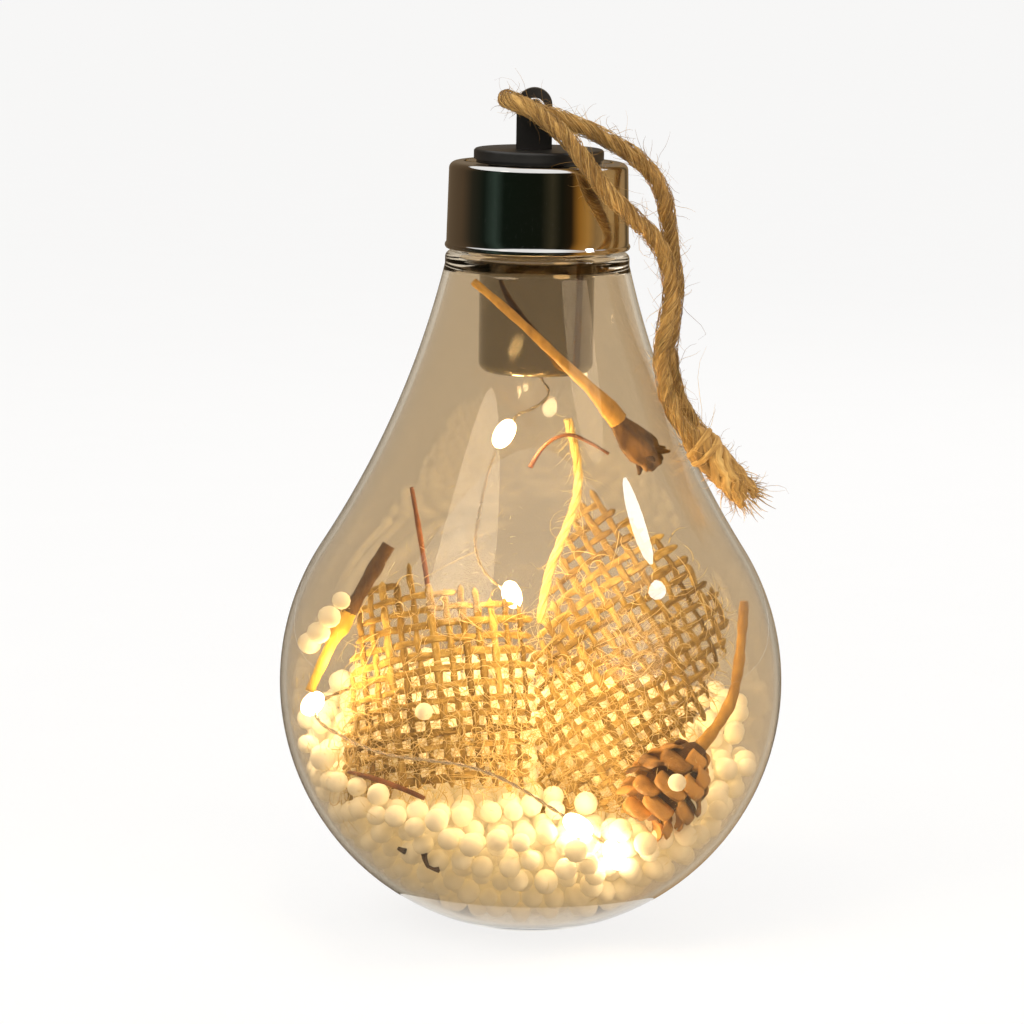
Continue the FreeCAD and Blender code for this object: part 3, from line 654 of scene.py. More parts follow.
class Effects:
    """Node groups that several finishes share."""

    def __init__(self) -> None:
        """Build each group once."""
        self.fibre = self.build_fibre()
        self.patina = self.build_patina()

    def build_fibre(self) -> Tree:
        """Plant fibre: noise stretched along the strand mixes three colours and gives a height.

        Returns:
            The group, with Color and Height out.
        """
        tree, nodes, given = new_group(
            "plant_fibre", {"Vector": VECTOR, "Tone": VALUE, "Dark": RGB, "Middle": RGB, "Light": RGB},
            {"Color": RGB, "Height": VALUE})
        fine = nodes.noise(given["Vector"], 1.0, 4.0)
        broad = nodes.noise(given["Vector"], 0.13, 2.0)
        shade = nodes.math("ADD", nodes.math("MULTIPLY", fine, 0.75), nodes.math("MULTIPLY", broad, 0.45))
        lighter = nodes.math("MULTIPLY", nodes.math("SUBTRACT", given["Tone"], 0.6), 0.6)
        level = nodes.math("ADD", shade, lighter)
        under = nodes.mix(nodes.cut(level, 0.3, 0.6), given["Dark"], given["Middle"])
        over = nodes.mix(nodes.cut(level, 0.6, 0.85), under, given["Light"])
        return end_group(tree, {"Color": over, "Height": fine})

    def build_patina(self) -> Tree:
        """Handling marks: long thin scratches, soft smudges and a fine grain.

        Returns:
            The group, with Smudge, Scratch and Grain out.
        """
        tree, nodes, given = new_group(
            "handling_marks", {"Vector": VECTOR}, {"Smudge": VALUE, "Scratch": VALUE, "Grain": VALUE})
        soft = nodes.cut(nodes.noise(given["Vector"], 90.0, 4.0), 0.45, 0.75)
        stretched = nodes.add("Mapping", {"Vector": given["Vector"], "Scale": (2200.0, 1900.0, 160.0),
                                          "Rotation": (0.2, 0.1, 0.4)}).outputs[0]
        lines = nodes.cut(nodes.noise(stretched, 1.0, 2.0), 0.66, 0.72)
        grain = nodes.noise(given["Vector"], 2600.0, 2.0)
        return end_group(tree, {"Smudge": soft, "Scratch": lines, "Grain": grain})


def new_material(name: str) -> tuple[Material, Nodes, bpy.types.Node, bpy.types.Node]:
    """A material with an empty tree.

    Args:
        name: the material's name.

    Returns:
        The material, its Nodes, its Principled node and its output.
    """
    material = bpy.data.materials.new(name)
    material.use_nodes = True
    material.node_tree.nodes.clear()
    nodes = Nodes(material.node_tree)
    shader = nodes.add("BsdfPrincipled")
    output = nodes.add("OutputMaterial", {"Surface": shader.outputs[0]})
    return material, nodes, shader, output


@dataclass(frozen=True)
class ClearPlastic:
    """Blown clear wall: faintly warm, with small waves, smudges and fine scratches. Its warm tint is partly
    the wall's own colour and partly painted shade that darkens and warms all seen through it.
    """

    name: str = "clear_wall"
    tint_and_painted_shade: Colour = (0.70, 0.60, 0.46)
    shadow_tint: Colour = (0.95, 0.93, 0.88)
    ior: float = 1.46
    roughness: tuple[float, float] = (0.012, 0.06)
    wave: float = 0.00004

    def material(self, effects: Effects) -> Material:
        """Build the material; light for shadows passes straight through, tinted."""
        material, nodes, shader, output = new_material(self.name)
        marks = nodes.group(effects.patina, {"Vector": nodes.placed()})
        waves_in = nodes.noise(nodes.placed((38, 38, 22)), 1.0, 1.0)
        # The base colour tints all seen through the wall: partly its own warmth, partly painted shade.
        nodes.feed(shader, {
            "Base Color": (*self.tint_and_painted_shade, 1), "Transmission Weight": 1.0, "IOR": self.ior,
            "Roughness": nodes.spread(marks.outputs["Smudge"], *self.roughness),
            "Normal": nodes.bump(waves_in, self.wave, 0.35)})
        clear = nodes.add("BsdfTransparent", {"Color": (*self.shadow_tint, 1)})
        shadow = nodes.add("LightPath").outputs["Is Shadow Ray"]
        mix = nodes.add("MixShader", {0: shadow, 1: shader.outputs[0], 2: clear.outputs[0]})
        nodes.feed(output, {"Surface": mix.outputs[0]})
        return material


@dataclass(frozen=True)
class Metal:
    """Plated or plain metal with handling marks."""

    name: str
    colour: Colour
    roughness: float = 0.08
    marked: float = 0.14

    def material(self, effects: Effects) -> Material:
        """Build the material: smudges raise the roughness and scratches dent the surface."""
        material, nodes, shader, _ = new_material(self.name)
        marks = nodes.group(effects.patina, {"Vector": nodes.placed()})
        smudge = marks.outputs["Smudge"]
        dark = tuple(part * 0.86 for part in self.colour)
        nodes.feed(shader, {
            "Base Color": nodes.ramp(smudge, [(0.0, self.colour), (1.0, dark)]), "Metallic": 1.0,
            "Roughness": nodes.spread(smudge, self.roughness, self.roughness + self.marked),
            "Normal": nodes.bump(marks.outputs["Scratch"], 0.000004, 0.25)})
        return material


@dataclass(frozen=True)
class Moulded:
    """Moulded plastic, rubber, board or paper-like surface with a fine grain."""

    name: str
    colour: Colour
    roughness: float = 0.4
    grain: float = 0.00002

    def material(self, effects: Effects) -> Material:
        """Build the material: grain in the normal, smudges in colour and roughness."""
        material, nodes, shader, _ = new_material(self.name)
        marks = nodes.group(effects.patina, {"Vector": nodes.placed()})
        smudge = marks.outputs["Smudge"]
        worn = tuple(min(part * 1.5 + 0.012, 1.0) for part in self.colour)
        nodes.feed(shader, {
            "Base Color": nodes.ramp(smudge, [(0.0, self.colour), (1.0, worn)]),
            "Roughness": nodes.spread(smudge, self.roughness, min(self.roughness + 0.2, 1.0)),
            "Normal": nodes.bump(marks.outputs["Grain"], self.grain, 0.5)})
        return material


@dataclass(frozen=True)
class Fibre:
    """Jute and other plant fibre."""

    name: str
    dark: Colour
    middle: Colour
    light: Colour
    grain: tuple[float, float] = (350.0, 9.0)

    def material(self, effects: Effects) -> Material:
        """Build the material: fibres run along the strand, by its UV map and its tone."""
        material, nodes, shader, _ = new_material(self.name)
        vector = nodes.placed((self.grain[0], self.grain[1], 1.0), uv=True)
        strand = nodes.group(effects.fibre, {
            "Vector": vector, "Tone": nodes.tone(), "Dark": (*self.dark, 1), "Middle": (*self.middle, 1),
            "Light": (*self.light, 1)})
        nodes.feed(shader, {
            "Base Color": strand.outputs["Color"], "Roughness": 0.75, "Sheen Weight": 0.08,
            "Normal": nodes.bump(strand.outputs["Height"], 0.00008, 0.8)})
        return material


@dataclass(frozen=True)
class Bark:
    """Dried wood: streaks along the piece between two colours, with a rough skin."""

    name: str
    dark: Colour
    light: Colour
    streak: Place = (900.0, 900.0, 160.0)
    roughness: float = 0.55
    relief: float = 0.00012

    def material(self, effects: Effects) -> Material:
        """Build the material from stretched and fine noise, and each part's tone."""
        material, nodes, shader, _ = new_material(self.name)
        long_grain = nodes.noise(nodes.placed(self.streak), 1.0, 4.0)
        blotch = nodes.noise(nodes.placed(), 260.0, 3.0)
        lighter = nodes.math("MULTIPLY", nodes.math("SUBTRACT", nodes.tone(), 0.5), 0.9)
        level = nodes.math("ADD", nodes.math("MULTIPLY", long_grain, 0.5),
                           nodes.math("MULTIPLY", blotch, 0.35))
        level = nodes.math("ADD", level, lighter)
        middle = tuple((a + b) / 2 for a, b in zip(self.dark, self.light))
        nodes.feed(shader, {
            "Base Color": nodes.ramp(level, [(0.22, self.dark), (0.45, middle), (0.68, self.light)]),
            "Roughness": self.roughness, "Normal": nodes.bump(long_grain, self.relief, 0.7)})
        return material


@dataclass(frozen=True)
class Foam:
    """Expanded foam beads: off-white, with the faint outlines of their cells.

    The lit lamps lie among them, so each bead gets a painted glow: a faint, even warm emission that stands in
    for the lamps' light spread through the heap.
    """

    name: str = "foam_bead"
    colour: Colour = (0.93, 0.88, 0.76)
    shade: Colour = (0.84, 0.76, 0.58)
    light: Colour = (0.97, 0.94, 0.86)
    # glow and the strength below are a painted glow: the beads are no lamps, their emission stands in for the
    # lit lamps' light.
    glow: Colour = (1.0, 0.80, 0.46)
    painted_glow_strength: float = 0.17

    def material(self, effects: Effects) -> Material:
        """Build the material from the cells and each bead's tone."""
        material, nodes, shader, _ = new_material(self.name)
        cells = nodes.add("TexVoronoi", {"Vector": nodes.placed(), "Scale": 2300.0},
                          feature="DISTANCE_TO_EDGE").outputs[0]
        colour = nodes.ramp(nodes.tone(), [(0.0, self.shade), (0.35, self.colour), (1.0, self.light)])
        # Painted glow: the emission lights every bead alike, standing in for the lamps' light passing through
        # the foam.
        nodes.feed(shader, {
            "Base Color": colour, "Roughness": 0.62, "Emission Color": (*self.glow, 1),
            "Emission Strength": self.painted_glow_strength,
            "Normal": nodes.bump(nodes.cut(cells, 0.0, 0.18), 0.00002, 0.5)})
        return material


@dataclass(frozen=True)
class Glow:
    """A lit lamp: resin that shines, whiter at its middle than at its ends."""

    name: str = "lit_lamp"
    colour: Colour = (1.0, 0.70, 0.30)
    core: Colour = (1.0, 0.86, 0.58)
    strength: float = 150.0

    def material(self, effects: Effects) -> Material:
        """Build the material: the tone runs from the ends to the middle."""
        material, nodes, shader, _ = new_material(self.name)
        swirl = nodes.noise(nodes.placed(), 700.0, 2.0)
        uneven = nodes.math("MULTIPLY", nodes.math("SUBTRACT", swirl, 0.5), 0.2)
        colour = nodes.ramp(nodes.math("ADD", nodes.tone(), uneven), [(0.1, self.colour), (0.7, self.core)])
        nodes.feed(shader, {"Base Color": colour, "Roughness": 0.2, "Emission Color": colour,
                            "Emission Strength": self.strength})
        return material


@dataclass
class Finishes:
    """Every material of the bulb, by the record's material slot or a piece's own need."""

    effects: Effects
    made: dict[str, Material] = field(default_factory=dict)

    KINDS = {"clear_glass": ClearPlastic(), "lamp_resin": Glow(), "foam_beads": Foam()} | {
        finish.name: finish for finish in (
            Metal("chrome_plate", (0.80, 0.785, 0.76), 0.05, 0.10),
            # The battery cup's metal colour is painted dark: it stands in for the dark surroundings that its
            # bright plating reflects.
            Metal("cup_plate_painted_dark", (0.26, 0.225, 0.165), 0.10, 0.12),
            Metal("cell_steel", (0.62, 0.62, 0.61), 0.24, 0.15),
            Metal("contact_brass", (0.80, 0.58, 0.28), 0.2, 0.15),
            Metal("enamelled_wire", (0.78, 0.70, 0.58), 0.22, 0.1),
            Moulded("black_plastic", (0.018, 0.017, 0.016), 0.34, 0.000015),
            Moulded("liner_rubber", (0.55, 0.53, 0.5), 0.75),
            Moulded("board_green", (0.02, 0.14, 0.06), 0.35),
            Moulded("resistor_body", (0.52, 0.38, 0.2), 0.5),
            Moulded("sleeve_plastic", (0.72, 0.71, 0.68), 0.5),
            Fibre("jute_twine", (0.10, 0.045, 0.010), (0.42, 0.225, 0.055), (0.78, 0.50, 0.16)),
            Fibre("burlap_cloth", (0.15, 0.085, 0.020), (0.41, 0.27, 0.080), (0.78, 0.57, 0.20),
                  (520.0, 6.0)),
            Fibre("yarn_fibre", (0.42, 0.26, 0.07), (0.80, 0.58, 0.22), (0.98, 0.84, 0.48),
                  (520.0, 7.0)),
            Bark("cone_bark", (0.07, 0.028, 0.008), (0.66, 0.35, 0.10), (420.0, 420.0, 420.0)),
            Bark("golden_stalk", (0.15, 0.06, 0.012), (0.72, 0.41, 0.08)),
            Bark("seed_husk", (0.055, 0.022, 0.007), (0.42, 0.21, 0.05)),
            Bark("dark_twig", (0.035, 0.016, 0.006), (0.22, 0.11, 0.035)),
            Bark("yellow_stem", (0.55, 0.28, 0.03), (0.95, 0.68, 0.12)),
            Bark("dry_stem", (0.06, 0.02, 0.01), (0.36, 0.14, 0.06)),
        )}

    def of(self, name: str) -> Material:
        """The material of that name, built when it is first asked for."""
        if name not in self.made:
            self.made[name] = self.KINDS[name].material(self.effects)
        return self.made[name]

    def dress(self, piece: Piece, finish: str, slot: str | None = None) -> Piece:
        """Give a piece its material.

        Args:
            piece: the new piece.
            finish: a name in KINDS.
            slot: not used.

        Returns:
            The piece.
        """
        piece.data.materials.clear()
        piece.data.materials.append(self.of(finish))
        return piece


# Clear bulb, cap, lid and what they hold


def arc_points(start: Sequence[float], end: Sequence[float], radius: float, side: int,
               steps: int) -> Array:
    """Points of an arc, its own ends included.

    The centre lies on the chord's left for side 1 and on its right for side -1; the points turn
    about it by even angles.

    Args:
        start: radius and height of the first point.
        end: those of the last point.
        radius: the arc's radius.
        side: where the centre is.
        steps: how many intervals.

    Returns:
        (steps + 1, 2).
    """
    start, end = np.array(start), np.array(end)
    chord = end - start
    half = np.linalg.norm(chord) / 2
    left = np.array([-chord[1], chord[0]]) / (2 * half)
    centre = (start + end) / 2 + left * side * math.sqrt(max(radius ** 2 - half ** 2, 0.0))
    first, last = (math.atan2(*(point - centre)[::-1]) for point in (start, end))
    swing = (last - first + math.pi) % TURN - math.pi
    angles = first + swing * np.linspace(0, 1, steps + 1)
    return centre + radius * np.stack([np.cos(angles), np.sin(angles)], axis=1)


@dataclass
class Vessel:
    """The blown clear bulb with its threaded neck, and the screw cap over it."""

    finishes: Finishes
    ball: float = 40.0 * MM
    base: float = 8.5 * MM
    flare: float = 145.0 * MM
    collar: float = 14.5 * MM
    collar_low: float = 105.8 * MM
    shoulder: float = 107.8 * MM
    neck: float = 12.3 * MM
    neck_inner: float = 11.2 * MM
    neck_top: float = 119.5 * MM
    wall: float = 1.0 * MM
    floor: float = 3.0 * MM
    pitch: float = 3.0 * MM
    thread: float = 0.5 * MM
    cap_outer: float = 14.35 * MM
    cap_draft: float = 0.3 * MM
    cap_inner: float = 13.15 * MM
    cap_base: float = 108.3 * MM
    cap_under: float = 120.2 * MM
    cap_top: float = 121.8 * MM
    cap_seat: float = 9.95 * MM
    cap_hole: float = 9.1 * MM
    seat_level: float = 121.2 * MM
    edge: float = 1.1 * MM
    segments: int = 192

    def centre_height(self) -> float:
        """Height of the ball's centre over its flat base."""
        return math.sqrt(self.ball ** 2 - self.base ** 2)

    def joins(self) -> tuple[Array, Array]:
        """Where ball and flare meet, and the flare's centre: two circles that touch."""
        middle = np.array([0.0, self.centre_height()])
        top = np.array([self.collar, self.collar_low])
        reach = np.linalg.norm(top - middle)
        span = self.ball + self.flare
        along = (reach ** 2 + span ** 2 - self.flare ** 2) / (2 * reach)
        aside = math.sqrt(span ** 2 - along ** 2)
        way = (top - middle) / reach
        centre = middle + along * way + aside * np.array([way[1], -way[0]])
        return middle + (centre - middle) * self.ball / span, centre

    def build(self) -> None:
        """Build bulb and cap, and put them on their bodies."""
        middle = np.array([0.0, self.centre_height()])
        join, flare_centre = self.joins()
        collar = np.array([self.collar, self.collar_low])
        inner_ball = self.ball - self.wall
        inner_join = middle + (join - middle) * inner_ball / self.ball
        inner_top = flare_centre + (collar - flare_centre) * (self.flare + self.wall) / self.flare
        floor_edge = np.array([math.sqrt(inner_ball ** 2 - (middle[1] - self.floor) ** 2), self.floor])
        soft = 0.6 * MM
        rim = 0.4 * MM
        low_neck = np.stack([np.full(70, self.neck), np.linspace(self.shoulder, self.neck_top - soft, 70)],
                            axis=1)
        profile = np.concatenate([
            [[0.0, 0.0], [self.base - soft, 0.0]],
            arc_points((self.base, 0.02 * MM), join, self.ball, 1, 72),
            arc_points(join, collar, self.flare, -1, 40)[1:],
            arc_points((self.collar, self.shoulder - MM),
                       (self.collar - MM, self.shoulder), MM, 1, 6),
            [[self.neck + soft, self.shoulder]],
            low_neck,
            arc_points((self.neck, self.neck_top - rim), (self.neck - rim, self.neck_top),
                       rim, 1, 4),
            [[self.neck_inner + 0.1 * MM, self.neck_top], [self.neck_inner, self.neck_top - 0.1 * MM]],
            [[self.neck_inner, self.shoulder], [self.neck_inner, self.shoulder - self.wall]],
            arc_points(inner_top, inner_join, self.flare + self.wall, 1, 40),
            arc_points(inner_join, floor_edge, inner_ball, -1, 72)[1:],
            [[0.0, self.floor]],
        ])
        bulb = self.turned("clear_bulb", "clear_glass", profile, self.neck,
                           (self.shoulder + MM, self.neck_top - 1.6 * MM), 0.0, 1)
        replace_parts(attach(bulb, Body.BULB.value), "bulb_shell")
        self.build_cap()

    def build_cap(self) -> None:
        """Build the cap: a turned skin with a rolled rim, a soft top edge and the thread inside."""
        top = self.cap_outer - self.cap_draft
        inside = np.stack([np.full(70, self.cap_inner),
                           np.linspace(self.cap_under, self.cap_base + 0.2 * MM, 70)], axis=1)
        profile = np.concatenate([
            [[self.cap_inner + 0.2 * MM, self.cap_base], [self.cap_outer, self.cap_base]],
            arc_points((self.cap_outer, self.cap_base),
                       (self.cap_outer, self.cap_base + 0.9 * MM), 0.55 * MM, 1, 10)[1:],
            np.stack([np.linspace(self.cap_outer, top, 8)[1:],
                      np.linspace(self.cap_base + 1.05 * MM, self.cap_top - self.edge, 8)[1:]], axis=1),
            arc_points((top, self.cap_top - self.edge), (top - self.edge, self.cap_top),
                       self.edge, 1, 10)[1:],
            [[self.cap_seat + 0.15 * MM, self.cap_top], [self.cap_seat, self.cap_top - 0.15 * MM],
             [self.cap_seat, self.seat_level], [self.cap_hole, self.seat_level],
             [self.cap_hole, self.cap_under]],
            inside,
            [[self.cap_inner + 0.2 * MM, self.cap_base]],
        ])
        cap = self.turned("chrome_cap", "chrome_plate", profile, self.cap_inner,
                          (self.cap_base + 1.2 * MM, self.cap_under - 1.5 * MM), 0.5, -1)
        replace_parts(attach(cap, Body.CAP.value), "screw_cap")
        log.info("clear_bulb and chrome_cap")

    def turned(self, name: str, finish: str, profile: Array, threaded: float, reach: tuple[float, float],
               phase: float, facing: int) -> Piece:
        """A turned wall with the screw thread on the part that has one radius.

        A point's place in the thread is its height less its angle's share of the pitch; the ridge is a
        flat-topped bump round the middle of each pitch, and it fades out at both ends.

        Args:
            name: the piece's name.
            finish: its finish.
            profile: (rows, 2) radius and height.
            threaded: radius of the wall that carries the thread.
            reach: lowest and greatest height of the thread.
            phase: share of a pitch by which it is shifted.
            facing: 1 for a thread outside, -1 for one inside.

        Returns:
            The piece.
        """
        height = profile[:, 1:2]
        low, high = reach
        place = (height / self.pitch - np.arange(self.segments)[None] / self.segments + phase) % 1.0
        bump = np.clip((0.3 - np.abs(place - 0.5)) / 0.12, 0, 1)
        bump = bump * bump * (3 - 2 * bump)
        rise = np.clip((height - low) / (0.5 * self.pitch), 0, 1)
        fade = rise * np.clip((high - height) / (0.3 * self.pitch), 0, 1)
        ridge = np.where(np.isclose(profile[:, :1], threaded), facing * self.thread * bump * fade, 0.0)
        return self.finishes.dress(Pile().lathe(profile, self.segments, ridge).build(name), finish)


@dataclass
class Hardware:
    """CAD nodes that keep their own shape and get a finish."""

    finishes: Finishes
    nodes: dict[str, Piece]

    PLAIN = {
        "battery_cup": "cup_plate_painted_dark", "hook_lid": "black_plastic", "cap_liner": "liner_rubber",
        "circuit_board": "board_green", "resistor": "resistor_body", "cell_contact": "contact_brass",
        "contact_strip": "contact_brass", "lid_contact": "contact_brass", "cell_sleeve": "sleeve_plastic",
        "button_cell_1": "cell_steel", "button_cell_2": "cell_steel", "button_cell_3": "cell_steel",
    }

    def build(self) -> None:
        """Give each node its material."""
        for name, finish in self.PLAIN.items():
            node = self.nodes[name]
            node.data.materials.clear()
            node.data.materials.append(self.finishes.of(finish))
        log.info("%d plain nodes", len(self.PLAIN))


# Twine


@dataclass
class Twine:
    """The two jute legs of the hanging loop, the knot that ends them and their loose fibres."""

    finishes: Finishes
    radius: float = 1.25 * MM
    strand: float = 0.66 * MM
    offset: float = 0.52 * MM
    lay: float = 12.5 * MM
    step: float = 0.35 * MM
    fibres: int = 620
    lengths: tuple[float, float] = (0.0889, 0.0712)
    eye: Place = (-0.8, 0.0, 130.2)

    FRONT_LEG = [(-0.8, 4.0, 130.2), (-4.3, 4.4, 131.0), (-5.5, 0.2, 131.7), (-4.4, -4.2, 131.5),
                 (-0.7, -6.4, 130.2), (4.1, -10.0, 126.6), (7.2, -13.2, 122.9), (10.3, -13.6, 118.3),
                 (14.7, -10.8, 114.3), (18.2, -7.4, 110.8), (20.4, -6.4, 106.8), (21.2, -6.6, 101.9),
                 (20.0, -7.2, 97.2), (19.5, -8.0, 91.9), (20.6, -8.9, 85.7), (23.3, -9.8, 81.3),
                 (26.6, -9.9, 77.0)]
    BACK_LEG = [(-0.8, -3.3, 130.2), (2.8, -5.8, 129.1), (9.4, -5.0, 126.6), (16.4, -3.6, 122.4),
                (19.5, -3.2, 117.9), (20.4, -2.8, 112.8), (20.9, -3.2, 107.8), (21.9, -3.4, 102.8),
                (21.2, -4.0, 97.4), (20.8, -4.8, 91.5), (22.1, -5.4, 85.6), (25.0, -6.2, 81.2),
                (28.2, -7.2, 77.4)]
    KNOT = [(24.6, -8.6, 80.4), (27.1, -8.9, 77.3), (30.6, -8.4, 73.6), (33.8, -7.8, 70.2)]

    def strands(self, line: Array, count: int, seed: int) -> tuple[Array, Array]:
        """Twisted strands: each centre circles the line once in a lay length, with small waves.

        Args:
            line: (rows, 3).
            count: how many strands.
            seed: for the waves.

        Returns:
            Rings (strands, rows, sides, 3) and tones (strands,).
        """
        generator = draws(seed)
        along = lengths_along(line)
        _, side, across = frames(line)
        sides = 14
        ring = ring_angles(sides)
        rings = []
        swell = waves(generator, count, along / (6 * MM), 0.13)
        drift = waves(generator, count, along / (9 * MM), 0.5)
        for number in range(count):
            out = around(TURN * (along / self.lay + number / count) + drift[number], side, across)
            centre = line + out * (self.offset * (1 + swell[number]))[:, None]
            size = self.strand * (1 + swell[number])
            furrow = 1 + 0.05 * np.cos(5 * ring[None] + along[:, None] * TURN / (2.2 * MM) + number)
            furrow += 0.035 * np.cos(3 * ring[None] - along[:, None] * TURN / (3.7 * MM))
            rings.append(tube_rings(centre, size[:, None] * furrow, sides)[0])
        return np.stack(rings), generator.uniform(0.35, 0.75, count)

    def fuzz(self, line: Array, seed: int, count: int) -> list[Array]:
        """Loose fibres of a leg: short ones that stand off and long ones that lie along it.

        Args:
            line: (rows, 3).
            seed: for their places.
            count: how many short ones.

        Returns:
            Rings for Pile.tubes, one array for each sort.
        """
        generator = draws(seed)
        tangent, side, across = frames(line)

        row = generator.integers(2, len(line) - 2, count)
        out = around(generator.uniform(0, TURN, count), side[row], across[row])
        way = out * generator.uniform(0.15, 1.0, (count, 1))
        way = way + tangent[row] * generator.choice([-1, 1], (count, 1))
        short = hair_lines(line[row] + out * self.radius * 0.85, way, generator.gamma(2.2, 1.0 * MM, count),
                           0.9, seed + 1)
        thin = generator.uniform(0.018, 0.045, count) * MM
        row = generator.integers(2, len(line) - 2, count)
        angle = generator.uniform(0, TURN, count)
        reach = generator.integers(8, 34, count)
        share = np.linspace(0, 1, 9)
        at = np.clip(row[:, None] + (share[None] * reach[:, None]).astype(int), 0, len(line) - 1)
        turn = angle[:, None] + share[None] * reach[:, None] * self.step / self.lay * TURN
        lift = 1.0 + 0.10 * np.sin(share * math.pi)[None] * generator.uniform(0, 2.2, (count, 1))
        lying = line[at] + around(turn, side[at], across[at]) * (self.radius * lift)[..., None]
        return [hair_rings(short, thin), hair_rings(lying, generator.uniform(0.03, 0.075, count) * MM)]

    def build(self) -> None:
        """Build both legs, the knot and the fibres, all on the lid."""
        for name, node, places, seed in (("twine_front", "twine_front_leg", self.FRONT_LEG, 11),
                                         ("twine_back", "twine_back_leg", self.BACK_LEG, 12)):
            line = spline_line([self.eye] + places, self.step)
            rings, tones = self.strands(line, 3, seed)
            leg = self.finishes.dress(Pile().tubes(rings, tones).build(name), "jute_twine")
            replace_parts(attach(leg, Body.LID.value), node)
            hairs = Pile()
            for sort in self.fuzz(line, seed + 20, self.fibres):
                hairs.tubes(sort, draws(seed).uniform(0.3, 1.0, len(sort)))
            fuzz = self.finishes.dress(hairs.build(name + "_fuzz"), "jute_twine")
            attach(fuzz, Body.LID.value)
        knot = self.build_knot()
        log.info("twine legs, knot and fibres")

    def build_knot(self) -> Piece:
        """The knot: seven strands that bulge and untwist, two wraps round them, and frayed tips."""
        generator = draws(31)
        line = spline_line(self.KNOT, 0.3 * MM)
        along = lengths_along(line)
        share = along / along[-1]
        _, side, across = frames(line)
        bulge = np.interp(share, [0, 0.18, 0.45, 0.8, 1], [1.0, 1.9, 1.75, 1.55, 1.9]) * MM
        size = np.interp(share, [0, 0.25, 0.8, 1], [0.85, 1.05, 0.85, 0.35]) * MM
        sides = 12
        furrow = 1 + 0.08 * np.cos(4 * ring_angles(sides)[None] + along[:, None] * TURN / (2.6 * MM))
        pile = Pile()
        count = 7
        wobble = waves(generator, count, share * 1.6, 0.5)
        for number in range(count):
            out = around(TURN * (share * 0.8 + number / count) + wobble[number], side, across)
            centre = line + out * bulge[:, None] * (1 + 0.12 * wobble[number])[:, None]
            pile.tubes(tube_rings(centre, size[:, None] * furrow, sides), generator.uniform(0.3, 0.7))
        for turn, (place, width) in enumerate(((0.14, 2.35), (0.25, 2.55))):
            row = int(np.interp(place, share, np.arange(len(line))))
            angle = np.linspace(0, TURN * 1.02, 60)
            tilt = 0.55 * MM * np.sin(angle + turn)
            loop = (line[row] + around(angle, side[row], across[row]) * width * MM
                    + unit(line[row + 1] - line[row]) * tilt[:, None])
            pile.tubes(tube_rings(loop, np.full(60, 0.55 * MM), 10), generator.uniform(0.4, 0.8))
        tips = 190
        row = generator.integers(int(len(line) * 0.55), len(line), tips)
        out = around(generator.uniform(0, TURN, tips), side[row], across[row])
        ahead = unit(line[-1] - line[-4])
        way = out * generator.uniform(0.1, 0.9, (tips, 1)) + ahead * 1.2
        fray = hair_lines(line[row] + out * 1.7 * MM, way, generator.uniform(1.2, 4.2, tips) * MM, 0.6, 33)
        thick = generator.uniform(0.04, 0.11, tips) * MM
        pile.tubes(hair_rings(fray, thick), generator.uniform(0.4, 1.0, tips))
        body = 260
        row = generator.integers(0, len(line), body)
        out = around(generator.uniform(0, TURN, body), side[row], across[row])
        loose = hair_lines(line[row] + out * 2.5 * MM, out + generator.normal(size=(body, 3)) * 0.8,
                           generator.gamma(2.0, 0.8 * MM, body), 1.0, 35)
        pile.tubes(hair_rings(loose, 0.035 * MM), generator.uniform(0.4, 1.0, body))
        knot = self.finishes.dress(pile.build("twine_end_knot"), "jute_twine")
        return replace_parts(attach(knot, Body.LID.value), "twine_knot")


# Lamp string


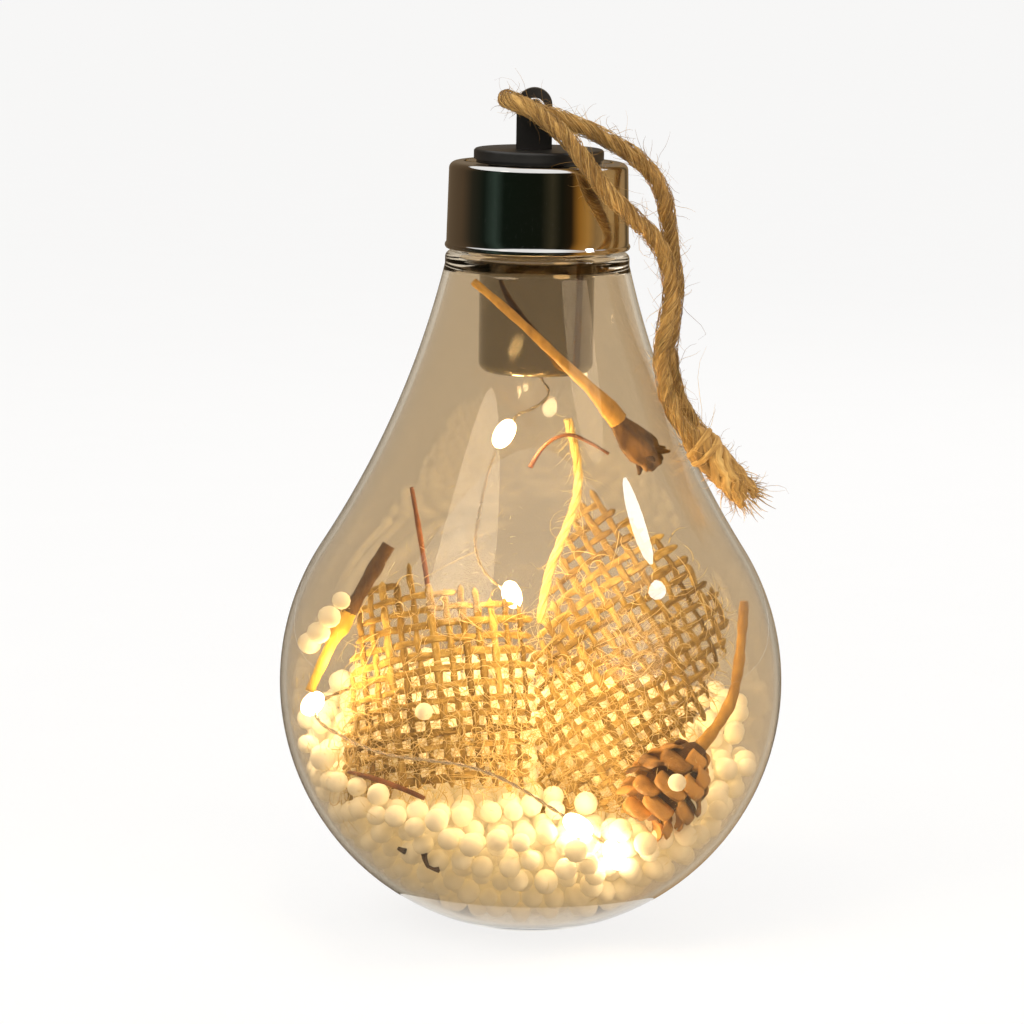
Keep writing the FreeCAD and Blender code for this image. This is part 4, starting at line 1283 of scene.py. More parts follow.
@dataclass
class LampString:
    """Twisted silver wire from the cup, and five lit lamps on it."""

    finishes: Finishes
    wire: float = 0.16 * MM
    offset: float = 0.15 * MM
    lay: float = 4.5 * MM
    step: float = 0.3 * MM
    length: float = 5.0 * MM
    radius: float = 1.55 * MM
    string_length: float = 0.134
    cord_width: float = 0.6 * MM

    LEAD = [(0.0, 0.0, 95.7), (0.0, 0.0, 88.4), (2.8, -0.8, 85.3), (0.0, -1.4, 82.9), (-2.6, -1.25, 82.0)]
    STRING = [(-2.75, -1.25, 81.9), (-4.8, -1.0, 78.8), (-6.3, -1.0, 75.6), (-7.6, -1.6, 71.4),
              (-8.6, -2.0, 65.8), (-9.4, -1.6, 60.6), (-7.6, 0.8, 55.6), (-3.2, 3.6, 52.2),
              (-4.6, 6.0, 47.2), (-11.6, 3.2, 43.8), (-19.6, -0.6, 41.0), (-27.6, -4.4, 38.6),
              (-34.2, -8.0, 36.4), (-33.0, -13.0, 34.4), (-28.2, -16.6, 32.6), (-22.6, -20.6, 31.2),
              (-15.6, -23.2, 31.0), (-9.4, -24.4, 30.6), (-3.4, -25.4, 28.6), (2.0, -26.0, 25.4),
              (7.6, -26.4, 21.9), (10.8, -26.6, 20.0), (13.2, -26.0, 17.4), (13.6, -25.4, 15.4)]
    LAMPS = (1, 7, 12, 20, 22)

    def pair(self, name: str, line: Array) -> Piece:
        """A pair of wires that circle a line, half a turn apart."""
        along = lengths_along(line)
        _, side, across = frames(line)
        rings = []
        for number in range(2):
            out = around(TURN * (along / self.lay + number / 2), side, across)
            rings.append(tube_rings(line + out * self.offset, np.full(len(line), self.wire), 6)[0])
        return self.finishes.dress(Pile().tubes(np.stack(rings), 0.6).build(name), "enamelled_wire")

    def build(self) -> None:
        """Build the lead, the string and its lamps."""
        lead = self.pair("lamp_lead", spline_line(self.LEAD, self.step))
        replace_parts(lead, "led_lead")
        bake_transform(lead)
        line = spline_line(self.STRING, self.step)
        string = self.pair("lamp_wire", line)
        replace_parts(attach(string, Body.BULB.value), "led_string")
        lamps = [self.lamp(number, point, line) for number, point in enumerate(self.LAMPS, start=1)]
        log.info("lamp wire and %d lamps", len(lamps))

    def lamp(self, number: int, point: int, line: Array) -> Piece:
        """One lamp: a drop of resin on the wire, round at both ends.

        Args:
            number: its number, from 1.
            point: not used.
            line: the string's line.

        Returns:
            The piece.
        """
        low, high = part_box(f"led_lamp_{number}")
        middle = np.array((low + high) / 2)
        nearest = int(np.argmin(np.linalg.norm(line - middle, axis=1)))
        ahead = line[min(nearest + 3, len(line) - 1)] - line[max(nearest - 3, 0)]
        rows = np.linspace(-1, 1, 17)
        core = middle + unit(ahead) * rows[:, None] * self.length / 2
        size = self.radius * np.sqrt(np.clip(1 - rows ** 2, 0.012, 1)) ** 0.85
        lamp = Pile().tubes(tube_rings(core, size, 20), 0.9).build(f"lit_lamp_{number}")
        self.finishes.dress(lamp, "lamp_resin")
        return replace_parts(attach(lamp, Body.BULB.value), f"led_lamp_{number}")


# Burlap


@dataclass
class Cloth:
    """A piece of burlap: woven threads on a bent and tilted sheet, with frayed edges."""

    finishes: Finishes
    name: str
    node: str
    bend: float
    edge: list[tuple[float, float]]
    weave_turn: float
    place: Place
    tilt: float
    flat: tuple[float, float]
    seed: int
    pitch: float = 2.45
    wide: float = 0.56
    thick: float = 0.2
    lift: float = 0.17
    loose: int = 1900

    def on_sheet(self, flat: Array, height: Array) -> Array:
        """Bend, tilt and move places on the flat cloth.

        A place (along, up) goes to an upright cylinder's wall at angle along / bend, out by height,
        then the sheet is turned about X and moved.

        Args:
            flat: (..., 2) millimetres.
            height: (...) millimetres off the sheet, towards the viewer.

        Returns:
            (..., 3) metres.
        """
        angle = flat[..., 0] / self.bend
        radius = self.bend + height
        x = radius * np.sin(angle)
        y = self.bend - radius * np.cos(angle)
        z = flat[..., 1]
        turn = math.radians(self.tilt)
        out = np.stack([x, y * math.cos(turn) - z * math.sin(turn), y * math.sin(turn) + z * math.cos(turn)],
                       axis=-1)
        return (out + np.array(self.place)) * MM

    def span(self, start: Array, way: Array) -> tuple[float, float] | None:
        """Where a straight thread enters and leaves the convex edge.

        Args:
            start: a point on it.
            way: its direction.

        Returns:
            The two distances, or None if it misses.
        """
        corners, inward = self.borders()
        gap = ((start - corners) * inward).sum(axis=1)
        rate = inward @ way
        cut = -gap / np.where(np.abs(rate) < 1e-9, 1e-9, rate)
        low = float(cut[rate > 0].max(initial=-99.0))
        high = float(cut[rate < 0].min(initial=99.0))
        return (low, high) if high - low > self.pitch * 0.8 else None

    def borders(self) -> tuple[Array, Array]:
        """Corners of the convex edge, and each side's inward direction at the side's length."""
        corners = np.array(self.edge)
        ahead = np.roll(corners, -1, axis=0) - corners
        return corners, np.stack([-ahead[:, 1], ahead[:, 0]], axis=1)

    def depth(self, flat: Array) -> Array:
        """How far inside the convex edge each place on the flat cloth lies, (places,)."""
        corners, inward = self.borders()
        return ((flat[:, None] - corners[None]) * unit(inward)[None]).sum(axis=2).min(axis=1)

    def threads(self) -> tuple[list[Array], list[float]]:
        """Every thread: it waves over and under its neighbours as a cosine of the pitch.

        Returns:
            Rings for each thread and its tone.
        """
        generator = draws(self.seed)
        slant = math.radians(self.weave_turn)
        ways = np.array([(math.cos(slant), math.sin(slant)), (-math.sin(slant), math.cos(slant))])
        reach = int(40 / self.pitch)
        rings, tones = [], []
        angle = ring_angles(8)
        for family, way in enumerate(ways):
            aside = ways[1 - family]
            for number in range(-reach, reach + 1):
                start = aside * self.pitch * (number + generator.uniform(-0.05, 0.05))
                span = self.span(start, way)
                if span is None:
                    continue
                low = span[0] - generator.gamma(2.0, 0.45)
                high = span[1] + generator.gamma(2.0, 0.45)
                at = np.linspace(low, high, max(8, int((high - low) / 0.42)))
                sway = waves(generator, 2, at / 11.0, 0.12)
                flat = start + at[:, None] * way + aside * sway[0][:, None]
                swing = self.lift * np.cos(math.pi * (at / self.pitch + number)) * (1 if family else -1)
                swell = 1 + waves(generator, 1, at / 5.0, 0.22)[0]
                swell *= generator.uniform(0.85, 1.15)
                ends = np.clip(np.minimum(at - low, high - at) / 0.6, 0.25, 1)
                reach_across = np.cos(angle)[None] * (self.wide * swell * ends)[:, None]
                across = flat[:, None] + aside * reach_across[..., None]
                height = swing[:, None] + np.sin(angle)[None] * (self.thick * swell * ends)[:, None]
                height = height + sway[1][:, None] * 0.6
                ring = self.on_sheet(across, height)
                rings.append(ring if family else ring[:, ::-1])
                tones.append(float(generator.uniform(0.3, 0.8)))
        return rings, tones

    def fibres(self, count: int) -> Array:
        """Loose fibres over the cloth, curled close to its surface.

        Args:
            count: how many.

        Returns:
            Rings for Pile.tubes.
        """
        generator = draws(self.seed + 50)
        corners = np.array(self.edge)
        low, high = corners.min(axis=0), corners.max(axis=0)
        flat = generator.uniform(low - 0.6, high + 0.6, (count * 3, 2))
        flat[:, 1] = low[1] + (flat[:, 1] - low[1]) * generator.uniform(0.25, 1.0, count * 3)
        flat = flat[self.depth(flat) > -1.0][:count]
        rows = 7
        share = np.linspace(0, 1, rows)
        way = generator.uniform(0, TURN, len(flat))
        swing = generator.normal(0, 1.6, len(flat))
        length = generator.gamma(2.6, 1.3, len(flat))
        heading = way[:, None] + swing[:, None] * share[None]
        step = np.stack([np.cos(heading), np.sin(heading)], axis=-1) * (length / rows)[:, None, None]
        path = flat[:, None] + np.cumsum(step, axis=1)
        side = generator.choice([1.0, -1.0], len(flat))
        height = side[:, None] * (0.35 + 0.55 * np.sin(share * math.pi)[None]
                                  * generator.uniform(0, 1.3, (len(flat), 1)))
        return hair_rings(within_wall(self.on_sheet(path, height)),
                          generator.uniform(0.04, 0.10, len(flat)) * MM)

    def build(self) -> None:
        pile = Pile()
        rings, tones = self.threads()
        for ring, tone in zip(rings, tones):
            pile.tubes(ring[None], tone)
        cloth = self.finishes.dress(pile.build(self.name), "burlap_cloth")
        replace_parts(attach(cloth, Body.BULB.value), self.node)
        loose = self.fibres(self.loose)
        hairs = Pile().tubes(loose, draws(self.seed).uniform(0.5, 1.0, len(loose)))
        fuzz = self.finishes.dress(hairs.build(self.name + "_fuzz"), "yarn_fibre", "burlap_cloth")
        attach(fuzz, Body.BULB.value)
        log.info("%s: %d threads", self.name, len(rings))

    def surface(self, step: float) -> Array:
        """Points all over the cloth, for keeping beads off it."""
        corners = np.array(self.edge)
        low, high = corners.min(axis=0), corners.max(axis=0)
        along, up = np.meshgrid(np.arange(low[0], high[0], step), np.arange(low[1], high[1], step))
        flat = np.stack([along.ravel(), up.ravel()], axis=1)
        flat = flat[self.depth(flat) > -0.5]
        return self.on_sheet(flat, np.zeros(len(flat)))


# Beads


@dataclass
class Beads:
    """Foam beads: a settled heap, and single ones above it."""

    finishes: Finishes
    clear_of: list[Array]
    inner: float = 38.85 * MM
    floor: float = 3.05 * MM
    radius: float = 1.75 * MM
    rounds: int = 45

    LOOSE = [(-29.2, -17.0, 54.5, 0.8), (-31.1, -15.2, 51.6, 1.0), (-32.8, -13.6, 48.8, 1.0),
             (-34.4, -10.9, 46.6, 1.0), (-16.4, -18.4, 37.6, 0.8), (22.5, -27.6, 29.2, 0.8)]

    def top(self, places: Array) -> Array:
        """Height of the heap's top over a place: the higher of two slopes."""
        x, y = places[:, 0], places[:, 1]
        return np.maximum(27.5 * MM - 0.15 * x + 0.25 * y, 19.0 * MM + 0.3 * x + 0.3 * y)

    def settle(self) -> tuple[Array, Array]:
        """Spread beads through the heap, then push overlapping ones apart round by round.

        Each pair that overlaps moves apart by half its overlap, and each bead is then brought back
        inside the ball, over the floor, under the top and off the cloth, the cone and the lamps.

        Returns:
            Centres (beads, 3) and radii (beads,).
        """
        generator = draws(71)
        gap = 2.06 * self.radius
        span = np.arange(-self.inner, self.inner, gap)
        x, y, z = np.meshgrid(span, span * 1.0, np.arange(self.floor, 0.045, gap * 0.9), indexing="ij")
        layer = np.round((z - self.floor) / (gap * 0.9))
        points = np.stack([x + (layer % 2) * gap / 2, y + (layer % 2) * gap / 2, z], axis=-1).reshape(-1, 3)
        points += generator.normal(0, 0.55 * MM, points.shape)
        away = np.linalg.norm(points - BALL_MIDDLE, axis=1)
        keep = (away < self.inner - 0.6 * self.radius) & (points[:, 2] < self.top(points) + 0.2 * MM)
        deep = (away < self.inner - 8.5 * MM) & (points[:, 2] < self.top(points) - 7.5 * MM)
        points = points[keep & ~deep]
        radii = self.radius * generator.uniform(0.84, 1.1, len(points))
        solids = np.concatenate(self.clear_of)
        for _ in range(self.rounds):
            offset = points[:, None] - points[None]
            apart = np.sqrt((offset ** 2).sum(axis=2)) + np.eye(len(points))
            overlap = np.clip(radii[:, None] + radii[None] - apart, 0, None)
            np.fill_diagonal(overlap, 0.0)
            points = points + (offset * (overlap / apart)[..., None]).sum(axis=1) * 0.45
            for block in np.array_split(np.arange(len(points)), 8):
                gaps = points[block][:, None] - solids[None, :, :3]
                far = np.linalg.norm(gaps, axis=2)
                nearest = far - solids[None, :, 3]
                hit = np.argmin(nearest, axis=1)
                row = np.arange(len(block))
                push = np.clip(radii[block] - nearest[row, hit], 0, None)
                points[block] += gaps[row, hit] / far[row, hit][:, None] * push[:, None]
            points[:, 2] = np.minimum(points[:, 2], self.top(points) + 0.6 * MM)
            points[:, 2] = np.maximum(points[:, 2], self.floor + radii)
            points = within_wall(points, (self.inner - radii)[:, None])
        gaps = np.linalg.norm(points[:, None] - solids[None, :, :3], axis=2) - solids[None, :, 3]
        free = gaps.min(axis=1) > radii * 0.9
        return points[free], radii[free]

    def build(self) -> None:
        """Build the heap and the single beads."""
        generator = draws(72)
        points, radii = self.settle()
        pile = Pile().balls(points, radii, generator.uniform(0.25, 1.0, len(points)))
        heap = self.finishes.dress(pile.build("foam_heap"), "foam_beads")
        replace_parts(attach(heap, Body.BULB.value), "bead_bed")
        loose = np.array(self.LOOSE)
        tones = generator.uniform(0.6, 1.0, len(loose))
        pile = Pile().balls(loose[:, :3] * MM, loose[:, 3] * self.radius, tones)
        single = self.finishes.dress(pile.build("foam_singles"), "foam_beads")
        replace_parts(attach(single, Body.BULB.value), "loose_beads")
        log.info("%d beads in the heap", len(points))


# Dried things


@dataclass
class Cone:
    """A small woody cone: rings of curved scales round a core, on its own stalk."""

    finishes: Finishes
    centre: Place = (22.0, -19.4, 27.5)
    way: Place = (0.628, 0.236, 0.742)
    length: float = 15.0
    widest: float = 5.8
    scales: int = 30
    golden_turn: float = 0.381966

    def width(self, level: Array) -> Array:
        """Radius at a level from -1, the tip, to 1, the stalk: an egg's outline."""
        return self.widest * np.sqrt(np.clip(1 - (level * 0.94) ** 2, 0.02, 1)) * (1 - 0.06 * level)

    def to_place(self, points: Array) -> Array:
        """Turn and move points from the cone's own axis to its place, in metres."""
        turn = np.array(Vector((0, 0, 1)).rotation_difference(Vector(self.way)).to_matrix())
        return (points @ turn.T + np.array(self.centre)) * MM

    def build(self) -> None:
        """Build core, scales and stalk."""
        generator = draws(81)
        pile = Pile()
        level = np.linspace(-1, 1, 14)
        axis = np.stack([level * 0, level * 0, level * self.length / 2 * 0.93], axis=1)
        core = tube_rings(axis, self.width(level) * 0.62, 16)
        pile.tubes(self.to_place(core), 0.15)
        rows, columns = 6, 7
        along = np.linspace(0, 1, rows)[:, None]
        across = np.linspace(-1, 1, columns)[None]
        for number in range(self.scales):
            share = (number + 0.5) / self.scales
            place = 0.94 - 1.76 * share
            width = self.width(np.array(place))
            wide = width * 0.60 * generator.uniform(0.85, 1.15)
            root = width * 0.45
            reach = width * 0.66 * generator.uniform(0.88, 1.16)
            angle = number * TURN * self.golden_turn + generator.uniform(-0.15, 0.15)
            rounded = np.sqrt(np.clip(1.02 - 0.5 * (across * along) ** 2, 0, 1))
            fan = wide * (0.35 + 0.65 * np.sqrt(along)) * rounded
            lobes = 1 - 0.10 * (np.cos(across * math.pi * 2.5) > 0.2) * (along > 0.9)
            out = root + reach * along * (1.35 - 0.35 * along) * lobes * (1 - 0.2 * (across * along) ** 2)
            curl = 0.35 * along + 1.3 * along ** 2 - 0.35 * (across * along) ** 2
            drop = -curl * self.length * 0.105
            front = np.stack(np.broadcast_arrays(out, fan * across, drop + 0.45 * along), axis=-1)
            back = front - np.array([0.05, 0.0, 0.42]) - along[..., None] * np.array([0.0, 0.0, 0.38])
            spin = np.array([[math.cos(angle), -math.sin(angle), 0], [math.sin(angle), math.cos(angle), 0],
                             [0, 0, 1]])
            rise = np.array([0, 0, place * self.length / 2])
            top = self.to_place(front @ spin.T + rise)
            low = self.to_place(back @ spin.T + rise)
            pile.sheets(top[None], low[None], generator.uniform(0.35, 0.95))
        cone = self.finishes.dress(pile.build("dried_cone"), "cone_bark")
        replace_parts(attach(cone, Body.BULB.value), "alder_cone")
        foot = np.array(self.centre) + np.array(self.way) / np.linalg.norm(self.way) * (self.length / 2 - 1)
        line = spline_line([tuple(foot), (29.6, -15.2, 35.6), (32.6, -12.0, 42.0), (33.0, -9.0, 54.0)],
                           0.4 * MM)
        share = np.linspace(0, 1, len(line))
        knobs = 1 + 0.1 * np.sin(share * 23) + 0.05 * np.sin(share * 61)
        pile = Pile().tubes(tube_rings(line, (1.0 - 0.3 * share) * knobs * MM, 12), 0.55)
        stalk = self.finishes.dress(pile.build("cone_stalk"), "golden_stalk", "cone_bark")
        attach(stalk, Body.BULB.value)
        log.info("cone with %d scales", self.scales)


@dataclass
class Stems:
    """Stalk, twigs, stems, yarn and crumbs among the fillings."""

    finishes: Finishes

    STALK = ("gold_stalk", "main_stalk", [(-9.6, -7.9, 103.6), (-4.1, -10.2, 99.2), (3.9, -10.4, 91.8),
                                          (10.2, -9.6, 85.8), (12.8, -8.2, 82.2)],
             [0.6, 0.68, 0.7, 0.78, 1.0, 1.7], "golden_stalk", "golden_stalk", 91, 0.6)
    THIN = (
        ("twig_stick", "left_twig", [(-22.4, -8.6, 61.9), (-27.6, -10.4, 53.2), (-28.8, -10.8, 50.9)],
         [1.1, 1.12, 1.05, 1.1], "dark_twig", "dark_twig", 92),
        ("twig_stem", "left_twig", [(-28.4, -10.7, 51.6), (-29.2, -10.9, 49.9), (-31.6, -11.8, 46.0),
                                    (-34.2, -14.0, 39.6)],
         [1.2, 1.35, 0.85, 0.78, 0.75, 0.7], "yellow_stem", "golden_stalk", 93),
        ("thin_stem_high", "thin_stem_upper", [(-19.0, -7.4, 71.0), (-17.0, -7.0, 59.4), (-16.1, -6.9, 53.4)],
         [0.3, 0.42, 0.4, 0.38], "dry_stem", "dry_stem", 94),
        ("thin_stem_low", "thin_stem_lower", [(-27.9, -18.8, 28.0), (-22.6, -21.6, 27.6),
                                              (-16.0, -24.0, 25.2)],
         [0.3, 0.4, 0.42, 0.35], "dry_stem", "dry_stem", 95),
        ("little_sprig", "dry_sprig", [(-0.6, 0.8, 73.2), (1.0, 0.7, 76.6), (5.0, 0.6, 79.0),
                                       (8.6, 0.7, 77.6), (11.8, 0.8, 75.6)],
         [0.45, 0.28, 0.3, 0.28, 0.25], "dry_stem", "dry_stem", 96),
    )
    CRUMBS = (
        [(-19.9, -27.0, 15.9), (-20.4, -26.4, 16.2), (-20.9, -26.2, 16.5)],
        [(-16.4, -28.6, 16.6), (-17.0, -28.6, 14.6), (-16.6, -28.2, 12.6)],
        [(-14.8, -28.9, 12.4), (-15.6, -28.8, 12.2), (-16.6, -28.2, 12.8)],
    )

    def stem(self, name: str, node: str, places: list, radii_mm: list[float], finish: str, slot: str,
             seed: int, tone: float = 0.5) -> None:
        """One stem: a knobbly tube whose radius follows a list along its line.

        Args:
            name: the piece's name.
            node: the CAD node that it stands for.
            places: control points in millimetres.
            radii_mm: radii at even shares of its length.
            finish: its finish.
            slot: the record's slot.
            seed: for its knobs.
            tone: from 0 dark to 1 light.
        """
        line = spline_line(places, 0.3 * MM)
        share = np.linspace(0, 1, len(line))
        radii = np.interp(share, np.linspace(0, 1, len(radii_mm)), radii_mm) * MM
        sides = 14
        along = lengths_along(line)
        knobs = 1 + waves(draws(seed), 1, along / (7 * MM), 0.09)[0][:, None]
        ribs = 1 + 0.05 * np.cos(5 * ring_angles(sides)[None] + along[:, None] * 300)
        pile = Pile().tubes(tube_rings(line, radii[:, None] * knobs * ribs, sides), tone)
        piece = self.finishes.dress(pile.build(name), finish, slot)
        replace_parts(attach(piece, Body.BULB.value), node)

    def build(self) -> None:
        """Build every stem."""
        self.stem(*self.STALK)
        self.seed_head()
        for stem in self.THIN:
            self.stem(*stem)
        self.yarn()
        self.crumbs()
        log.info("stems, yarn and crumbs")

    def seed_head(self) -> None:
        """The stalk's brown head: a lobed cup that opens into pointed husks."""
        line = spline_line([(12.4, -8.4, 82.6), (14.4, -7.9, 80.0), (16.6, -7.6, 77.5), (19.0, -7.2, 75.0)],
                           0.25 * MM)
        share = np.linspace(0, 1, len(line))
        sides = 25
        ring = ring_angles(sides)
        radius = np.interp(share, [0, 0.15, 0.42, 0.7, 1], [1.1, 1.6, 2.3, 2.4, 1.3])
        lobe = np.interp(share, [0, 0.4, 1], [0.03, 0.10, 0.24])[:, None]
        lobes = 1 + lobe * np.cos(5 * ring + 2.2 * share[:, None])
        ragged = 1 + 0.05 * np.sin(11 * ring + 9 * share[:, None])
        pile = Pile().tubes(tube_rings(line, radius[:, None] * lobes * ragged * MM, sides), 0.35)
        generator = draws(97)
        ahead = unit(line[-1] - line[-6])
        _, side, across = frames(line)
        husks = 7
        out = around(ring_angles(husks) + generator.uniform(-0.2, 0.2, husks), side[-8], across[-8])
        start = line[-10] + out * 1.5 * MM
        spikes = hair_lines(start, out * 0.9 + ahead, generator.uniform(1.4, 2.6, husks) * MM, 0.3, 98, 8)
        pile.tubes(hair_rings(spikes, 0.6 * MM, 7), generator.uniform(0.2, 0.5, husks))
        head = self.finishes.dress(pile.build("seed_head"), "seed_husk", "golden_stalk")
        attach(head, Body.BULB.value)

    def yarn(self) -> None:
        """Jute yarn: three loose strands and their fibres."""
        line = spline_line([(5.2, 2.4, 80.8), (7.0, 3.0, 75.0), (7.2, 1.8, 68.2), (4.4, -0.8, 61.6),
                            (2.0, -3.2, 55.2), (1.4, -5.3, 49.4)], 0.3 * MM)
        generator = draws(101)
        along = lengths_along(line)
        _, side, across = frames(line)
        pile = Pile()
        for number in range(3):
            out = around(TURN * (along / (9 * MM) + number / 3), side, across)
            pile.tubes(tube_rings(line + out * 0.34 * MM, np.full(len(line), 0.42 * MM), 9),
                       generator.uniform(0.5, 0.8))
        hairs = 240
        row = generator.integers(0, len(line), hairs)
        out = unit(generator.normal(size=(hairs, 3)))
        loose = hair_lines(line[row] + out * 0.6 * MM, out + unit(line[-1] - line[0]),
                           generator.gamma(2.2, 1.0 * MM, hairs), 1.1, 102)
        pile.tubes(hair_rings(loose, 0.035 * MM), generator.uniform(0.5, 1.0, hairs))
        yarn = self.finishes.dress(pile.build("loose_yarn"), "yarn_fibre", "burlap_cloth")
        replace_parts(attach(yarn, Body.BULB.value), "jute_yarn")

    def crumbs(self) -> None:
        """Bark crumbs against the wall near the floor, and jute dust on the wall's inside."""
        pile = Pile()
        for number, places in enumerate(self.CRUMBS):
            line = within_wall(spline_line(places, 0.2 * MM), 38.3 * MM)
            pile.tubes(tube_rings(line, np.linspace(0.5, 0.28, len(line)) * MM, 8), 0.3 + 0.1 * number)
        bark = self.finishes.dress(pile.build("bark_crumbs"), "dark_twig")
        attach(bark, Body.BULB.value)
        generator = draws(111)
        count = 900
        ways = unit(np.array([(-9.0, -30.0, 20.0), (-3.0, -37.0, 12.0), (-30.0, -20.0, -2.0),
                              (14.0, -34.0, -14.0)]))
        out = unit(ways[generator.integers(0, len(ways), count)] + generator.normal(0, 0.2, (count, 3)))
        way = unit(np.cross(out, generator.normal(size=(count, 3))))
        lines = hair_lines(BALL_MIDDLE + out * 38.6 * MM, way,
                           generator.gamma(1.5, 0.5 * MM, count) + 0.15 * MM, 0.5, 112, 4)
        lines = BALL_MIDDLE + unit(lines - BALL_MIDDLE) * 38.75 * MM
        thin = generator.uniform(0.02, 0.05, count) * MM
        pile = Pile().tubes(hair_rings(lines, thin), generator.uniform(0.4, 1, count))
        dust = self.finishes.dress(pile.build("jute_dust"), "yarn_fibre", "burlap_cloth")
        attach(dust, Body.BULB.value)


# Studio


@dataclass
class Studio:
    """Camera, floor, light and the flags that metal and glass reflect."""

    camera_place: Place = (0.0, -0.6370, 0.1687)
    yaw: float = -0.303
    pitch: float = -9.138
    roll: float = 0.87
    focal_px: float = 4065.0
    image_px: float = 1024.0
    sensor_mm: float = 36.0
    aim: Place = (0.0, 0.0, 0.07)
    floor_half: float = 8.0
    floor_white: float = 0.82
    card_away: float = 0.9
    glow_colour: Colour = (1.0, 0.75, 0.34)
    glow_radius: float = 0.003

    # Name, place, width, watts and colour of each soft lamp outside
    SOFT = (("key", (-0.5, -0.45, 0.75), 0.5, 4.2, (1.0, 0.95, 0.88)),
            ("fill", (0.6, -0.5, 0.35), 0.5, 2.6, (1.0, 0.92, 0.80)),
            ("rim", (0.25, 0.6, 0.5), 0.4, 1.0, (1.0, 0.97, 0.95)))
    # Place and watts of the small lamps inside
    GLOWS = (((-0.004, -0.010, 0.080), 0.010), ((-0.002, -0.012, 0.060), 0.021),
             ((-0.030, -0.014, 0.044), 0.012), ((0.004, -0.031, 0.036), 0.018),
             ((0.012, -0.004, 0.040), 0.026), ((-0.006, 0.014, 0.045), 0.026),
             ((0.006, -0.016, 0.070), 0.013))
    # Degrees from the front, and the colour that metal and clear wall reflect from there
    BANDS = ((-180, (0.20, 0.15, 0.10)), (-150, (0.12, 0.082, 0.048)), (-112, (0.085, 0.055, 0.03)),
             (-92, (0.025, 0.022, 0.014)), (-72, (0.008, 0.012, 0.008)), (-56, (0.034, 0.052, 0.04)),
             (-44, (0.006, 0.010, 0.006)), (4, (0.007, 0.009, 0.005)), (18, (0.04, 0.034, 0.018)),
             (30, (0.009, 0.009, 0.005)), (43, (0.02, 0.012, 0.005)), (54, (0.30, 0.13, 0.02)),
             (66, (0.40, 0.20, 0.045)), (78, (0.26, 0.15, 0.055)), (100, (0.42, 0.25, 0.09)),
             (140, (0.34, 0.21, 0.09)), (150, (0.06, 0.04, 0.02)), (164, (0.30, 0.2, 0.1)),
             (180, (0.20, 0.15, 0.10)))
    # Radius and height of each flag's edges, and the degrees that its halves span
    FLAGS = (("flag_floor", ((0.022, 0.0006), (0.85, 0.0006))), ("flag_wall", ((0.86, 0.002), (1.0, 0.9))))
    HALVES = (("front", (-115, 115)), ("back", (115, 245)))
    # Name, azimuth, elevation, half width, height as a share of width, and strength
    HIGHLIGHTS = (("glint", 77, 39.5, 0.078, 0.6, 20.0), ("sheen", -54, 51, 0.07, 1.4, 1.6))

    def build(self) -> None:
        """Build everything that isn't the object."""
        self.camera()
        self.world()
        self.floor()
        self.lamps()
        self.flags()
        bpy.context.scene.view_settings.view_transform = "Standard"

    def camera(self) -> None:
        """Place the camera by its yaw, pitch and roll."""
        yaw, pitch, roll = (math.radians(angle) for angle in (self.yaw, self.pitch, self.roll))
        ahead = Vector((math.sin(yaw) * math.cos(pitch), math.cos(yaw) * math.cos(pitch), math.sin(pitch)))
        right = Vector((math.cos(yaw), -math.sin(yaw), 0.0))
        up = right.cross(ahead)
        turned_right = right * math.cos(roll) + up * math.sin(roll)
        turned_up = up * math.cos(roll) - right * math.sin(roll)
        data = bpy.data.cameras.new("camera")
        data.sensor_width = self.sensor_mm
        data.lens = self.focal_px / self.image_px * self.sensor_mm
        data.clip_start, data.clip_end = 0.01, 50.0
        camera = bpy.data.objects.new("camera", data)
        turn = Matrix((turned_right, turned_up, -ahead)).transposed().to_4x4()
        camera.matrix_world = Matrix.Translation(self.camera_place) @ turn
        bpy.context.scene.collection.objects.link(camera)
        bpy.context.scene.camera = camera

    def world(self) -> None:
        """White for what is seen, reflected or seen through, and soft light for the rest."""
        world = bpy.data.worlds.new("studio")
        world.use_nodes = True
        world.node_tree.nodes.clear()
        nodes = Nodes(world.node_tree)
        plain = nodes.add("Background", {"Color": (1.0, 1.0, 1.0, 1), "Strength": 1.0})
        soft = nodes.add("Background", {"Color": (1.0, 0.96, 0.90, 1), "Strength": 0.7})
        mix = nodes.add("MixShader", {0: nodes.background_share(), 1: soft.outputs[0], 2: plain.outputs[0]})
        nodes.add("OutputWorld", {"Surface": mix.outputs[0]})
        bpy.context.scene.world = world

    def floor(self) -> None:
        """A wide pale floor; the eye sees it nearly white, with the bulb's shadow on it."""
        size = self.floor_half
        mesh = bpy.data.meshes.new("floor")
        mesh.from_pydata([(-size, -size, 0), (size, -size, 0), (size, size, 0), (-size, size, 0)], [],
                         [(0, 1, 2, 3)])
        floor = bpy.data.objects.new("floor", mesh)
        bpy.context.scene.collection.objects.link(floor)
        material, nodes, shader, output = new_material("pale_floor")
        grain = nodes.noise(nodes.placed(), 40.0, 3.0)
        tone = nodes.ramp(grain, [(0.0, (0.84, 0.84, 0.84)), (1.0, (0.9, 0.9, 0.9))])
        nodes.feed(shader, {"Base Color": tone, "Roughness": 0.9, "Specular IOR Level": 0.1})
        light = nodes.add("Emission", {"Color": (1, 1, 1, 1), "Strength": 1.0})
        share = nodes.math("MULTIPLY", nodes.background_share(), self.floor_white)
        mix = nodes.add("MixShader", {0: share, 1: shader.outputs[0], 2: light.outputs[0]})
        nodes.feed(output, {"Surface": mix.outputs[0]})
        mesh.materials.append(material)

